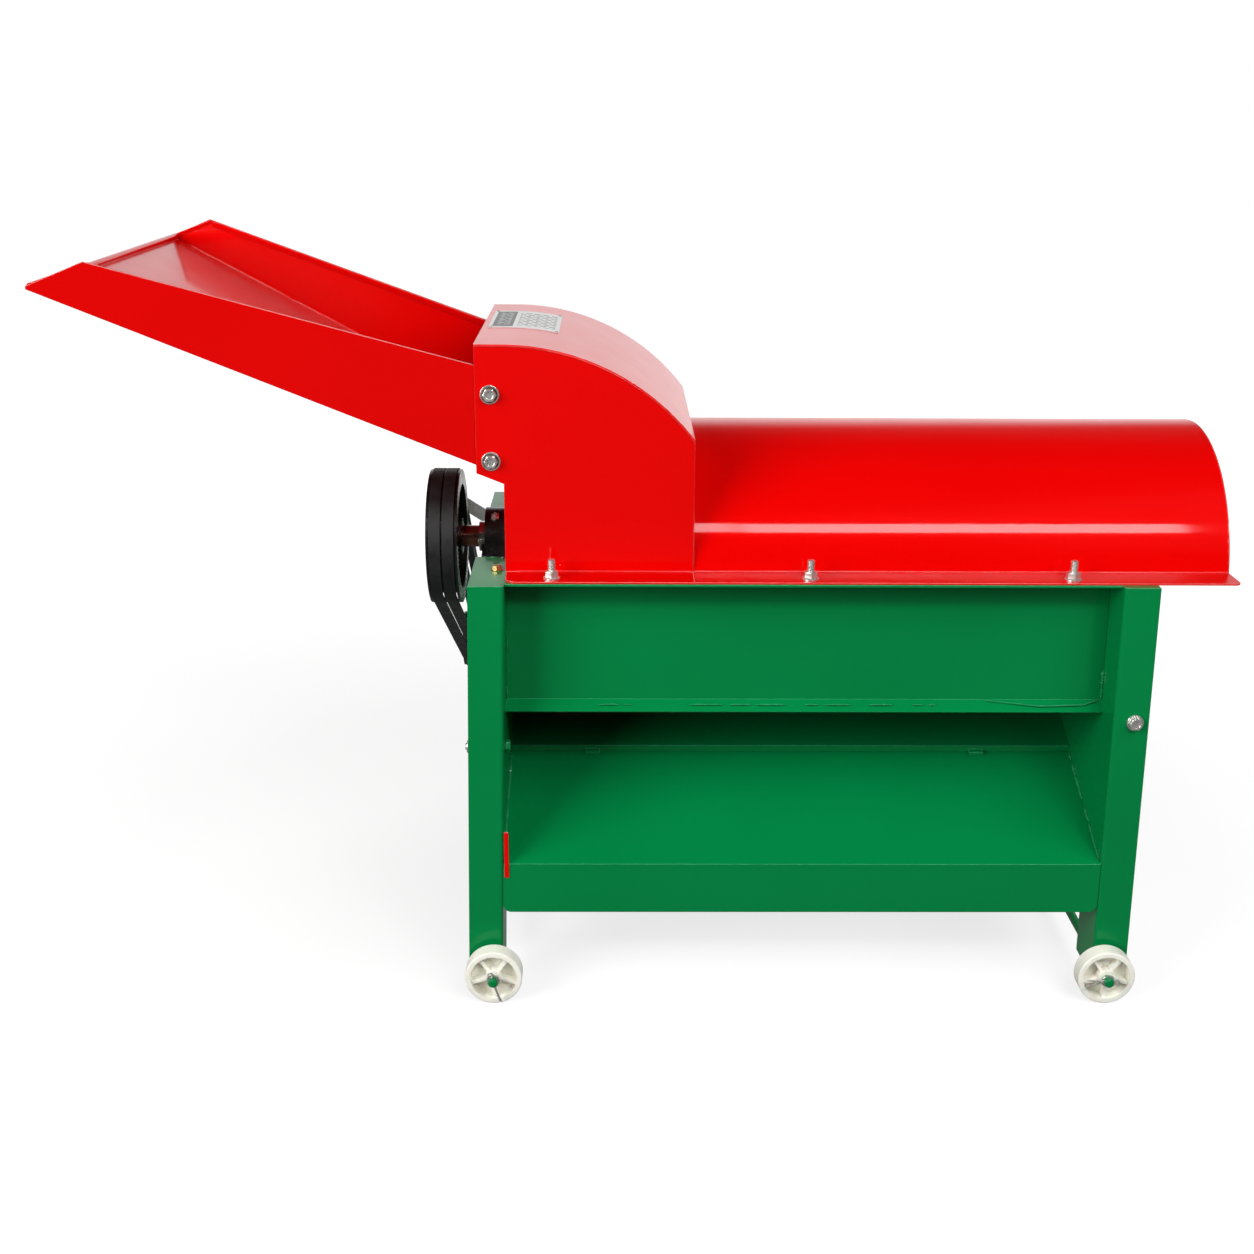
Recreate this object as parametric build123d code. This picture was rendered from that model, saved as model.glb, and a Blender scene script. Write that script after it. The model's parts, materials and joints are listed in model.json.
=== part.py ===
from build123d import *
import os
from math import asin, atan2, cos, degrees, hypot, radians, sin, sqrt

# Household corn sheller on a wheeled sheet-metal stand: feed chute, drum housing, cover, drum, belts and motor.
#
# Millimetres, +Z up, +X from the belt side to the cob outlet, +Y from front to back.  The model is built with X = 0
# at the belt-side end of the stand's top, Y = 0 at the front leg faces and Z = 0 on the floor, and is moved at the
# end so that the origin is the centre of its footprint on the floor.

# ---- driving dimensions -------------------------------------------------------------------------------------
# stand
STAND_LENGTH = 724.0
STAND_DEPTH = 410.0
STAND_HEIGHT = 480.0
STAND_SHEET = 2.0
LEG_WIDTH = 38.0
LEG_SIDE = 62.0            # depth of a leg's side flange
LEG_BOTTOM = 18.0          # height of the leg ends above the floor
LEAN = 10.0                # how far each end frame leans out at the floor
BEND_RADIUS = 3.5
ARCH_HEIGHT = 85.0         # underside of the side sheet between the legs
SEAT_NOTCH = 188.0         # length of the notch that holds a pillow block
SEAT_THICK = 6.0
# drum axis and housings
SHAFT_RADIUS = 12.5
SHAFT_HEIGHT = 478.0
STUB_RADIUS = 10.0         # turned-down free end of the drum shaft
STUB_LENGTH = 30.0
CHAMBER_WIDTH = 314.0      # outside width of the drum housing and chamber
RED_SHEET = 2.0
FLANGE_EDGE = 10.0         # distance of the red flanges' outer edges from the stand's front and back
HOUSING_LEFT = 8.5
HOUSING_STEP = 37.0        # where the housing's lower left edge stands
HOUSING_RIGHT = 237.0
HOUSING_TOP = 723.6
HOUSING_ARC = 252.0
HOUSING_NECK = 589.0       # height of the lower left corner of the housing's overhang
HOUSING_NECK_DROP = 11.3
COVER_END = 812.0
COVER_RISE = 135.0
# front panel and slides
PANEL_FLANGE_EDGE = 8.0
PANEL_TOP_THICK = 2.5
PANEL_BOTTOM = 336.0
LIP_LENGTH = 16.0
SLIDE_FRONT_HEIGHT = 159.4
SLIDE_SLOPE = 0.477
REAR_SLIDE_SLOPE = 0.43
REAR_SLIDE_FRONT = 150.0
REAR_SLIDE_GAP = 8.0       # height of the rear slide's edge above the front slide
SLIDE_OVERLAP = 22.0
APRON_BOTTOM = 100.0
APRON_FACE = 1.0
APRON_CORNER = 9.0
# feed chute
CHUTE_SHEET = 2.0
CHUTE_CORNER_X = -349.0
CHUTE_TIP_X = -400.0
CHUTE_FLOOR_HEIGHT = 597.5  # at the housing's left edge
CHUTE_FLOOR_SLOPE = 0.471
CHUTE_RIM_HEIGHT = 702.0    # at the housing's left edge
CHUTE_RIM_SLOPE = 0.3136
CHUTE_FLARE = 0.275
CHUTE_FLOOR_END = 62.0
CHUTE_TAB_END = 34.0
LIP_ROLL = 4.0
# wheels
WHEEL_RADIUS = 31.75
WHEEL_WIDTH = 20.0
WHEEL_FRONT = -26.0
WHEEL_RIM = 6.0
WHEEL_HUB = 9.0
WHEEL_WEB = 4.0
SPOKE_COUNT = 5
SPOKE_THICK = 3.6
SPOKE_SETBACK = 3.0
AXLE_RADIUS = 5.0
AXLE_INSET = 9.0           # axle centre from the leg's inner edge at axle height
AXLE_END = 12.0            # axle beyond the wheel face
# drive
PULLEY_RADIUS = 77.0
PULLEY_WIDTH = 35.0
PULLEY_LEFT = -57.5
MOTOR_PULLEY_RADIUS = 38.0
GROOVE_PITCH = 15.0
GROOVE_TOP = 13.8
GROOVE_BOTTOM = 8.4
GROOVE_DEPTH = 11.0
BELT_TOP = 13.0
BELT_BOTTOM = 8.2
BELT_HEIGHT = 8.0
BELT_PROUD = 1.5
# pillow blocks
BLOCK_CENTRE = 17.0        # bearing plane from the stand's end
BLOCK_AXIS_HEIGHT = 36.5
BLOCK_LENGTH = 140.0
BLOCK_BASE_WIDTH = 38.0
BLOCK_BASE_HEIGHT = 15.0
BLOCK_DOME_RADIUS = 33.5
BLOCK_DOME_WIDTH = 24.0
BLOCK_BOLT_PITCH = 105.0
RACE_OUTER = 26.0
RACE_SPLIT = 17.65
RACE_WIDTH = 17.0
INNER_LONG = 19.8
INNER_SHORT = 14.3
# drum and concave
DRUM_LEFT = 52.0
DRUM_RIGHT = 672.0
DRUM_RADIUS = 60.0
DRUM_WALL = 5.0
PEG_TIP = 112.0
PEG_SIZE = 12.0
PEG_ROWS = 4
PEGS_PER_ROW = 10
PADDLE_LENGTH = 48.0
CONCAVE_RADIUS = 124.0
CONCAVE_ROD = 4.0
CONCAVE_RODS = 19
CONCAVE_RIBS = 4
RIB_THICK = 5.0
RIB_DEPTH = 16.0
LEDGE = 14.0
LEDGE_THICK = 3.0
# motor
MOTOR_Y = 560.0
MOTOR_Z = 230.0
MOTOR_SHAFT_HEIGHT = 90.0
MOTOR_SHOULDER = -10.0
MOTOR_BELL = 28.0
MOTOR_FRAME = 172.0
MOTOR_FAN_COVER = 65.0
MOTOR_RADIUS = 76.0
MOTOR_WALL = 6.0
FIN_HEIGHT = 7.0
FIN_THICK = 2.6
FIN_COUNT = 32
MOTOR_SHAFT_RADIUS = 12.0
MOTOR_TAIL = 8.0           # radius of the motor shaft's rear end
MOTOR_CORE = 17.0          # radius of the motor shaft inside the rotor
MOTOR_RACE = 24.0
MOTOR_REAR_BELL = 12.0
FOOT_FIRST = 56.0          # first foot hole from the shaft shoulder
FOOT_PITCH_X = 100.0
FOOT_PITCH_Y = 140.0
FOOT_THICK = 12.0
RAIL_WIDTH = 28.0
RAIL_HEIGHT = 25.0
RAIL_WALL = 2.5
RAIL_START = 332.0
RAIL_END = 655.0
# fasteners
M8 = 4.0
M8_AF = 13.0
M8_WASHER = 9.0
M10 = 5.0
FIT = 0.05                 # radial clearance of a pin or ring in its bore
HOLE = 0.3                 # radial clearance of a bolt in its hole
RUN = 0.3                  # gap between moving neighbours

# ---- worked out from the driving dimensions -------------------------------------------------------------------
CENTRE_Y = STAND_DEPTH / 2
WALL_FRONT = CENTRE_Y - CHAMBER_WIDTH / 2
WALL_BACK = CENTRE_Y + CHAMBER_WIDTH / 2
SEAT_TOP = SHAFT_HEIGHT - BLOCK_AXIS_HEIGHT
ROOF = STAND_HEIGHT + RED_SHEET
nodes = {}


# ---- helpers ----------------------------------------------------------------------------------------------
def outline(*points):
    return make_face(Polyline(*points, close=True))


def along_x(face, x0, x1):
    """Extrude a face drawn in (Y, Z) from x0 to x1."""
    return extrude(Plane.YZ.offset(x0) * face, x1 - x0)


def along_y(face, y0, y1):
    """Extrude a face drawn in (X, Z) from y0 to y1."""
    return extrude(Plane.XZ.offset(-y1) * face, y1 - y0)


def along_z(face, z0, z1):
    """Extrude a face drawn in (X, Y) from z0 to z1."""
    return extrude(Plane.XY.offset(z0) * face, z1 - z0)


def block(x0, x1, y0, y1, z0, z1):
    return Pos(x0, y0, z0) * Box(x1 - x0, y1 - y0, z1 - z0, align=(Align.MIN, Align.MIN, Align.MIN))


def disc_x(radius, x0, x1, y, z, bore=0.0):
    face = Circle(radius) - Circle(bore) if bore else Circle(radius)
    return along_x(Pos(y, z) * face, x0, x1)


def disc_y(radius, y0, y1, x, z, bore=0.0):
    face = Circle(radius) - Circle(bore) if bore else Circle(radius)
    return along_y(Pos(x, z) * face, y0, y1)


def disc_z(radius, z0, z1, x, y, bore=0.0):
    face = Circle(radius) - Circle(bore) if bore else Circle(radius)
    return along_z(Pos(x, y) * face, z0, z1)


def hexagon(across_flats):
    return RegularPolygon(across_flats / sqrt(3), 6)


def fused(first, *others):
    return first.fuse(*others)


def group(parts):
    return Compound(children=list(parts))


def mirror_ends(shape):
    """The same piece at the other end of the stand."""
    return mirror(shape, Plane.YZ.offset(STAND_LENGTH / 2))


def mirror_back(shape):
    """The same piece on the other side of the drum axis."""
    return mirror(shape, Plane.XZ.offset(-CENTRE_Y))


def inner_edge(z):
    """X of the left end frame's inner face at a height."""
    return LEG_WIDTH - LEAN * (STAND_HEIGHT - z) / STAND_HEIGHT


def between_ends():
    """The space between the two leaning end frames."""
    face = outline((inner_edge(0), 0), (STAND_LENGTH - inner_edge(0), 0),
                   (STAND_LENGTH - LEG_WIDTH, STAND_HEIGHT), (LEG_WIDTH, STAND_HEIGHT))
    return along_y(face, -STAND_DEPTH, 2 * STAND_DEPTH)


# ---- stand --------------------------------------------------------------------------------------------------
def end_frame():
    """One folded sheet: two leg faces, side sheet and top plates, leaning out towards the floor."""
    low, top = LEG_BOTTOM, STAND_HEIGHT
    shift = LEAN * (top - low) / top
    leg_face = outline((0, top), (LEG_WIDTH, top), (LEG_WIDTH - shift, low), (-shift, low))
    front_leg = along_y(leg_face, 0, STAND_SHEET)
    side_slab = along_y(outline((LEG_WIDTH - STAND_SHEET, top), (LEG_WIDTH, top), (LEG_WIDTH - shift, low),
                                (LEG_WIDTH - shift - STAND_SHEET, low)), 0, STAND_DEPTH)
    notch_front = CENTRE_Y - SEAT_NOTCH / 2
    notch_back = CENTRE_Y + SEAT_NOTCH / 2
    notch_low = SEAT_TOP - SEAT_THICK
    side_outline = outline((0, low), (LEG_SIDE, low), (LEG_SIDE, ARCH_HEIGHT),
                           (STAND_DEPTH - LEG_SIDE, ARCH_HEIGHT), (STAND_DEPTH - LEG_SIDE, low),
                           (STAND_DEPTH, low), (STAND_DEPTH, top), (notch_back, top), (notch_back, notch_low),
                           (notch_front, notch_low), (notch_front, top), (0, top))
    side = side_slab & along_x(side_outline, -STAND_DEPTH, STAND_DEPTH)
    plate_face = outline((0, top - STAND_SHEET), (0, top), (LEG_WIDTH, top),
                         (inner_edge(top - STAND_SHEET), top - STAND_SHEET))
    plate = along_y(plate_face, 0, notch_front)
    frame = fused(side, front_leg, mirror_back(front_leg), plate, mirror_back(plate))
    bends = [e for e in frame.edges() if e.length > STAND_HEIGHT / 2
             and abs(e.center().X - inner_edge(e.center().Z)) < 0.1
             and min(abs(e.center().Y), abs(e.center().Y - STAND_DEPTH)) < 0.1]
    frame = fillet(bends, BEND_RADIUS)
    x_axle, z_axle = axle_place()
    frame -= disc_y(AXLE_RADIUS + HOLE, -STAND_DEPTH, 2 * STAND_DEPTH, x_axle, z_axle)
    return frame


def axle_place():
    return inner_edge(WHEEL_RADIUS) - AXLE_INSET, WHEEL_RADIUS


LEG_BOLT = (712.0, 329.0)              # X and Z of the bolt in the cob-side leg face
GUARD_STUD = (34.0, 286.0)             # Y and Z of the belt guard's stud
TOP_BOLT = (27.0, 62.0)                # X and Y of the small bolt on the top plate
STAY_BOLT = (16.0, 429.0)              # X and Z of the guard stay's bolt in the rear leg face

left_frame = end_frame()
right_frame = mirror_ends(left_frame)
left_frame -= along_x(Pos(*GUARD_STUD) * Circle(M8 + HOLE), -LEG_WIDTH, 2 * LEG_WIDTH)
left_frame -= disc_y(M8 + HOLE, CENTRE_Y, 2 * STAND_DEPTH, *STAY_BOLT)
for y_bolt in (TOP_BOLT[1], STAND_DEPTH - TOP_BOLT[1]):
    left_frame -= disc_z(3.0 + HOLE, STAND_HEIGHT - 10, STAND_HEIGHT + 10, TOP_BOLT[0], y_bolt)
right_frame -= disc_y(M8 + HOLE, -10, LEG_SIDE, *LEG_BOLT)
nodes["end_frame_left"] = left_frame
nodes["end_frame_right"] = right_frame

STUD_X = (87.0, 360.0, 638.0)
STUD_Y = 25.0


def stud_holes(z0, z1):
    return [disc_z(M8 + HOLE, z0, z1, x, y) for x in STUD_X for y in (STUD_Y, STAND_DEPTH - STUD_Y)]


def chamber_panel(low, lip):
    """Front wall of the lower drum chamber with its top flange and, at the front, its turned-out lip."""
    s = STAND_SHEET
    top = STAND_HEIGHT
    y0, y1 = WALL_FRONT, WALL_FRONT + s
    points = [(PANEL_FLANGE_EDGE, top), (y1, top), (y1, low)]
    if lip:
        run = LIP_LENGTH / sqrt(2)
        points += [(y1 - run, low - run), (y1 - run - s / sqrt(2), low - run + s / sqrt(2)),
                   (y0, low + s * (sqrt(2) - 1))]
    else:
        points += [(y0, low)]
    points += [(y0, top - PANEL_TOP_THICK), (PANEL_FLANGE_EDGE, top - PANEL_TOP_THICK)]
    panel = along_x(outline(*points), 0, STAND_LENGTH) & between_ends()
    for hole in stud_holes(0, ROOF):
        panel -= hole
    return panel


def slide_top(y):
    """Height of the front slide's upper face."""
    return SLIDE_FRONT_HEIGHT + (y - APRON_FACE) * SLIDE_SLOPE


def rear_slide_top(y):
    return slide_top(REAR_SLIDE_FRONT) + REAR_SLIDE_GAP + (y - REAR_SLIDE_FRONT) * REAR_SLIDE_SLOPE


REAR_PANEL_INNER = WALL_BACK - STAND_SHEET
nodes["front_panel"] = chamber_panel(PANEL_BOTTOM, True)
nodes["rear_panel"] = mirror_back(chamber_panel(rear_slide_top(REAR_PANEL_INNER) - 8, False))

s = STAND_SHEET
slide_back = REAR_SLIDE_FRONT + SLIDE_OVERLAP
slide_sheet = along_x(outline((APRON_FACE, slide_top(APRON_FACE)), (slide_back, slide_top(slide_back)),
                              (slide_back, slide_top(slide_back) - s), (APRON_FACE, slide_top(APRON_FACE) - s)),
                      0, STAND_LENGTH) & between_ends()
apron_left = inner_edge(APRON_BOTTOM)
apron_right = STAND_LENGTH - apron_left
apron_face = outline((apron_left, APRON_BOTTOM), (apron_right, APRON_BOTTOM),
                     (STAND_LENGTH - inner_edge(SLIDE_FRONT_HEIGHT), SLIDE_FRONT_HEIGHT),
                     (inner_edge(SLIDE_FRONT_HEIGHT), SLIDE_FRONT_HEIGHT))
apron_face = fillet(apron_face.vertices().sort_by(Axis.Y)[:2], APRON_CORNER)
apron = along_y(apron_face, APRON_FACE, APRON_FACE + s)
nodes["front_slide"] = fused(slide_sheet, apron)

fold_low = slide_top(REAR_SLIDE_FRONT + s)
rear_points = [(REAR_SLIDE_FRONT, rear_slide_top(REAR_SLIDE_FRONT)),
               (REAR_PANEL_INNER, rear_slide_top(REAR_PANEL_INNER)),
               (REAR_PANEL_INNER, rear_slide_top(REAR_PANEL_INNER) - s),
               (REAR_SLIDE_FRONT + s, rear_slide_top(REAR_SLIDE_FRONT + s) - s),
               (REAR_SLIDE_FRONT + s, fold_low), (REAR_SLIDE_FRONT, fold_low)]
rear_sheet = along_x(outline(*rear_points), 0, STAND_LENGTH) & between_ends()

TAB_X = (128.0, 580.0)
TAB_LENGTH = 17.0
TAB_DEPTH = 5.0
tab_front = REAR_SLIDE_FRONT - TAB_DEPTH
tab_face = outline((tab_front, slide_top(tab_front)), (REAR_SLIDE_FRONT, slide_top(REAR_SLIDE_FRONT)),
                   (REAR_SLIDE_FRONT, slide_top(REAR_SLIDE_FRONT) + 4), (tab_front, slide_top(tab_front) + 4))
tabs = [along_x(tab_face, x - TAB_LENGTH / 2, x + TAB_LENGTH / 2) for x in TAB_X]
nodes["rear_slide"] = fused(rear_sheet, *tabs)

# thin clip at the front slide's left end, outside the apron
CLIP_WIDTH = 5.0
CLIP_LOW, CLIP_HIGH = 143.0, 198.0
clip_edge = inner_edge(CLIP_LOW)
nodes["slide_clip"] = block(clip_edge + 1.6, clip_edge + 1.6 + CLIP_WIDTH, APRON_FACE - 1, APRON_FACE,
                            CLIP_LOW, CLIP_HIGH)

# bars that carry the pillow blocks
seat_front = CENTRE_Y - SEAT_NOTCH / 2
SEAT_OUT = BLOCK_CENTRE - BLOCK_BASE_WIDTH / 2 - 1
seat = block(SEAT_OUT, inner_edge(SEAT_TOP - SEAT_THICK), seat_front, seat_front + SEAT_NOTCH,
             SEAT_TOP - SEAT_THICK, SEAT_TOP)
for y_bolt in (CENTRE_Y - BLOCK_BOLT_PITCH / 2, CENTRE_Y + BLOCK_BOLT_PITCH / 2):
    seat -= disc_z(M10 + HOLE, 0, STAND_HEIGHT, BLOCK_CENTRE, y_bolt)
nodes["bearing_seats"] = group([seat, mirror_ends(seat)])

# cross rails and motor rails
RAIL_TOP = MOTOR_Z - MOTOR_SHAFT_HEIGHT
CROSS_TOP = RAIL_TOP - RAIL_HEIGHT
CROSS_HEIGHT = 25.0


def tube(width, height):
    return Rectangle(width, height) - Rectangle(width - 2 * RAIL_WALL, height - 2 * RAIL_WALL)


def cross_rail(y_centre):
    profile = Pos(y_centre, CROSS_TOP - CROSS_HEIGHT / 2) * tube(RAIL_WIDTH, CROSS_HEIGHT)
    return along_x(profile, 0, STAND_LENGTH) & between_ends()


nodes["cross_rails"] = group([cross_rail(RAIL_START + RAIL_WIDTH / 2),
                              cross_rail(STAND_DEPTH - STAND_SHEET - RAIL_WIDTH / 2)])
FOOT_X = [MOTOR_SHOULDER + FOOT_FIRST, MOTOR_SHOULDER + FOOT_FIRST + FOOT_PITCH_X]
FOOT_Y = [MOTOR_Y - FOOT_PITCH_Y / 2, MOTOR_Y + FOOT_PITCH_Y / 2]
motor_rails = []
for x in FOOT_X:
    rail = along_y(Pos(x, RAIL_TOP - RAIL_HEIGHT / 2) * tube(RAIL_WIDTH, RAIL_HEIGHT), RAIL_START, RAIL_END)
    for y in FOOT_Y:
        rail -= along_z(Pos(x, y) * Rot(0, 0, 90) * SlotOverall(36, 2 * (M8 + HOLE)), 0, MOTOR_Z)
    motor_rails.append(rail)
nodes["motor_rails"] = group(motor_rails)


# ---- wheels -------------------------------------------------------------------------------------------------
def wheel():
    """Moulded wheel about the Y axis, open side towards -Y, front face at Y = 0."""
    inner = WHEEL_RADIUS - WHEEL_RIM
    tread = disc_y(WHEEL_RADIUS, 0, WHEEL_WIDTH, 0, 0, inner)
    tread = fillet(tread.edges().filter_by(GeomType.CIRCLE).filter_by(lambda e: e.radius > inner + 1), 1.5)
    web = disc_y(inner, WHEEL_WIDTH - WHEEL_WEB - 2, WHEEL_WIDTH - 2, 0, 0)
    hub = disc_y(WHEEL_HUB, -1, WHEEL_WIDTH + 1, 0, 0)
    spokes = []
    for i in range(SPOKE_COUNT):
        spoke = block(0, inner + 1, SPOKE_SETBACK, WHEEL_WIDTH - 3, -SPOKE_THICK / 2, SPOKE_THICK / 2)
        spokes.append(Rot(0, 18 + i * 360 / SPOKE_COUNT, 0) * spoke)
    body = fused(tread, web, hub, *spokes)
    return body - disc_y(AXLE_RADIUS + 2 * FIT, -5, WHEEL_WIDTH + 5, 0, 0)


axle_x, axle_z = axle_place()
front_wheel = Pos(0, WHEEL_FRONT, axle_z) * wheel()
WHEEL_BACK = WHEEL_FRONT + WHEEL_WIDTH
AXLE_FRONT = WHEEL_FRONT - AXLE_END
PIN_Y = AXLE_FRONT + 4.0
PIN_RADIUS = 1.2
for side, x in (("left", axle_x), ("right", STAND_LENGTH - axle_x)):
    nodes["wheel_front_" + side] = Pos(x, 0, 0) * front_wheel
    nodes["wheel_rear_" + side] = mirror_back(Pos(x, 0, 0) * front_wheel)
    rod = disc_y(AXLE_RADIUS, AXLE_FRONT, STAND_DEPTH - AXLE_FRONT, x, axle_z)
    rod = chamfer(rod.edges().filter_by(GeomType.CIRCLE), 1.0)
    for y in (PIN_Y, STAND_DEPTH - PIN_Y):
        rod -= disc_z(PIN_RADIUS + FIT, 0, 2 * axle_z, x, y)
    nodes["axle_" + side] = rod

washers, pins = [], []
for x in (axle_x, STAND_LENGTH - axle_x):
    inside = disc_y(M8_WASHER + 1, WHEEL_BACK + 1 + RUN, -0.01, x, axle_z, AXLE_RADIUS + FIT)
    outside = disc_y(M8_WASHER + 1, PIN_Y + PIN_RADIUS + 0.2, PIN_Y + PIN_RADIUS + 1.8, x, axle_z,
                     AXLE_RADIUS + FIT)
    pin_top = axle_z + AXLE_RADIUS + 3
    shank = disc_z(PIN_RADIUS, axle_z - 15, pin_top, x, PIN_Y)
    eye = Pos(x, PIN_Y, pin_top + 2.4) * Rot(90, 0, 0) * Torus(2.6, PIN_RADIUS)
    pin = fused(shank, eye)
    washers += [inside, outside, mirror_back(inside), mirror_back(outside)]
    pins += [pin, mirror_back(pin)]
nodes["wheel_washers"] = group(washers)
nodes["split_pins"] = group(pins)


# ---- feed chute ---------------------------------------------------------------------------------------------
def chute_floor(x):
    return CHUTE_FLOOR_HEIGHT - (x - HOUSING_LEFT) * CHUTE_FLOOR_SLOPE


def chute_rim(x):
    return CHUTE_RIM_HEIGHT - (x - HOUSING_LEFT) * CHUTE_RIM_SLOPE


def chute_side(x, offset=0.0):
    """Y of the near wall's outer face, moved inwards by an offset."""
    return WALL_FRONT + RED_SHEET + offset + CHUTE_FLARE * min(0.0, x - HOUSING_LEFT)


CHUTE_BOLTS = ((24.0, 672.0), (24.0, 602.0))


def chute_wall():
    tab_rim = chute_rim(HOUSING_LEFT)
    side = outline((CHUTE_TAB_END, chute_floor(CHUTE_TAB_END)), (CHUTE_TAB_END, tab_rim),
                   (HOUSING_LEFT, tab_rim), (CHUTE_CORNER_X, chute_rim(CHUTE_CORNER_X)),
                   (CHUTE_TIP_X, chute_floor(CHUTE_TIP_X) + 3), (CHUTE_TIP_X, chute_floor(CHUTE_TIP_X)))
    t = CHUTE_SHEET
    plan = outline(*[(x, chute_side(x)) for x in (CHUTE_TAB_END, HOUSING_LEFT, CHUTE_TIP_X)],
                   *[(x, chute_side(x, t)) for x in (CHUTE_TIP_X, HOUSING_LEFT, CHUTE_TAB_END)])
    wall = along_y(side, -STAND_DEPTH, STAND_DEPTH) & along_z(plan, 0, 2 * STAND_HEIGHT)
    for x, z in CHUTE_BOLTS:
        wall -= disc_y(M8 + HOLE, 0, CENTRE_Y, x, z)
    return wall


near_wall = chute_wall()
nodes["chute_near_wall"] = near_wall
nodes["chute_far_wall"] = mirror_back(near_wall)
t = CHUTE_SHEET
floor_profile = outline((CHUTE_TIP_X, chute_floor(CHUTE_TIP_X)), (CHUTE_FLOOR_END, chute_floor(CHUTE_FLOOR_END)),
                        (CHUTE_FLOOR_END, chute_floor(CHUTE_FLOOR_END) + t),
                        (CHUTE_TIP_X, chute_floor(CHUTE_TIP_X) + t))
floor_plan = outline(*[(x, chute_side(x, t)) for x in (CHUTE_FLOOR_END, HOUSING_LEFT, CHUTE_TIP_X - 9)],
                     *[(x, STAND_DEPTH - chute_side(x, t)) for x in (CHUTE_TIP_X - 9, HOUSING_LEFT,
                                                                      CHUTE_FLOOR_END)])
roll_centre = (CHUTE_TIP_X + LIP_ROLL, chute_floor(CHUTE_TIP_X + LIP_ROLL) + LIP_ROLL)
lip_roll = disc_y(LIP_ROLL, -STAND_DEPTH, 2 * STAND_DEPTH, *roll_centre)
floor_sheet = fused(along_y(floor_profile, -STAND_DEPTH, 2 * STAND_DEPTH), lip_roll)
nodes["chute_floor"] = floor_sheet & along_z(floor_plan, 0, 2 * STAND_HEIGHT)


# ---- drum housing -------------------------------------------------------------------------------------------
def housing_top(inset):
    """Points and arc of the housing's top profile, moved inwards by an inset."""
    arc_z = HOUSING_TOP - HOUSING_ARC
    radius = HOUSING_ARC - inset
    right = HOUSING_RIGHT
    drop = sqrt(radius ** 2 - (right - HOUSING_STEP) ** 2)
    half = asin((right - HOUSING_STEP) / radius) / 2
    middle = (HOUSING_STEP + radius * sin(half), arc_z + radius * cos(half))
    return (HOUSING_LEFT, HOUSING_TOP - inset), (HOUSING_STEP, arc_z + radius), middle, (right, arc_z + drop)


def profile_face(start, bend, middle, end, *rest):
    wire = [Line(start, bend), ThreePointArc(bend, middle, end)]
    corners = [end, *rest, start]
    wire += [Line(a, b) for a, b in zip(corners, corners[1:])]
    return make_face(Wire(wire))


def housing_wall():
    low = HOUSING_NECK - HOUSING_NECK_DROP
    face = profile_face(*housing_top(RED_SHEET), (HOUSING_RIGHT, STAND_HEIGHT), (HOUSING_STEP, STAND_HEIGHT),
                        (HOUSING_STEP, low), (HOUSING_LEFT, HOUSING_NECK))
    wall = along_y(face, WALL_FRONT, WALL_FRONT + RED_SHEET)
    flange = Pos((LEG_WIDTH + HOUSING_RIGHT) / 2, (FLANGE_EDGE + WALL_FRONT) / 2 + 1)
    flange *= Rectangle(HOUSING_RIGHT - LEG_WIDTH, WALL_FRONT - FLANGE_EDGE + 2)
    corner = flange.vertices().sort_by(Axis.Y)[:2].sort_by(Axis.X)[0]
    flange = along_z(fillet(corner, 14), STAND_HEIGHT, ROOF)
    wall = fused(wall, flange)
    for x, z in CHUTE_BOLTS:
        wall -= disc_y(M8 + HOLE, 0, CENTRE_Y, x, z)
    return wall - stud_holes(STAND_HEIGHT - 1, ROOF + 1)[0]


front_wall = housing_wall()
nodes["housing_front_wall"] = front_wall
nodes["housing_rear_wall"] = mirror_back(front_wall)
outer, inner = housing_top(0), housing_top(RED_SHEET)
top_band = make_face(Wire([Line(outer[0], outer[1]), ThreePointArc(*outer[1:]), Line(outer[3], inner[3]),
                           ThreePointArc(inner[3], inner[2], inner[1]), Line(inner[1], inner[0]),
                           Line(inner[0], outer[0])]))
nodes["housing_top"] = along_y(top_band, WALL_FRONT, WALL_BACK)

end_plate = block(HOUSING_STEP, HOUSING_STEP + RED_SHEET, WALL_FRONT + RED_SHEET, WALL_BACK - RED_SHEET,
                  STAND_HEIGHT, chute_floor(HOUSING_STEP + RED_SHEET) - 0.5)
end_plate -= disc_x(SHAFT_RADIUS + 6, 0, LEG_WIDTH * 2, CENTRE_Y, SHAFT_HEIGHT)
nodes["housing_end_plate"] = end_plate

# half-round cover
HALF_SPAN = CHAMBER_WIDTH / 2 - 1
COVER_RADIUS = (HALF_SPAN ** 2 + COVER_RISE ** 2) / (2 * COVER_RISE)
COVER_AXIS = STAND_HEIGHT + COVER_RISE - COVER_RADIUS


def arch(radius):
    """Region under the cover's arc and above the stand's top."""
    disc = Pos(CENTRE_Y, COVER_AXIS) * Circle(radius)
    keep = Pos(CENTRE_Y, STAND_HEIGHT + radius) * Rectangle(3 * radius, 2 * radius)
    return disc & keep


shell = along_x(arch(COVER_RADIUS) - arch(COVER_RADIUS - RED_SHEET), HOUSING_RIGHT, COVER_END)
flange_width = CENTRE_Y - HALF_SPAN + 1.2 - FLANGE_EDGE
flange = Pos((HOUSING_RIGHT + COVER_END) / 2, FLANGE_EDGE + flange_width / 2)
flange *= Rectangle(COVER_END - HOUSING_RIGHT, flange_width)
corner = flange.vertices().sort_by(Axis.Y)[:2].sort_by(Axis.X)[-1]
flange = along_z(fillet(corner, 7), STAND_HEIGHT, ROOF)
cover = fused(shell, flange, mirror_back(flange))
for hole in stud_holes(STAND_HEIGHT - 1, ROOF + 1)[2:]:
    cover -= hole
nodes["drum_cover"] = cover

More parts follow.
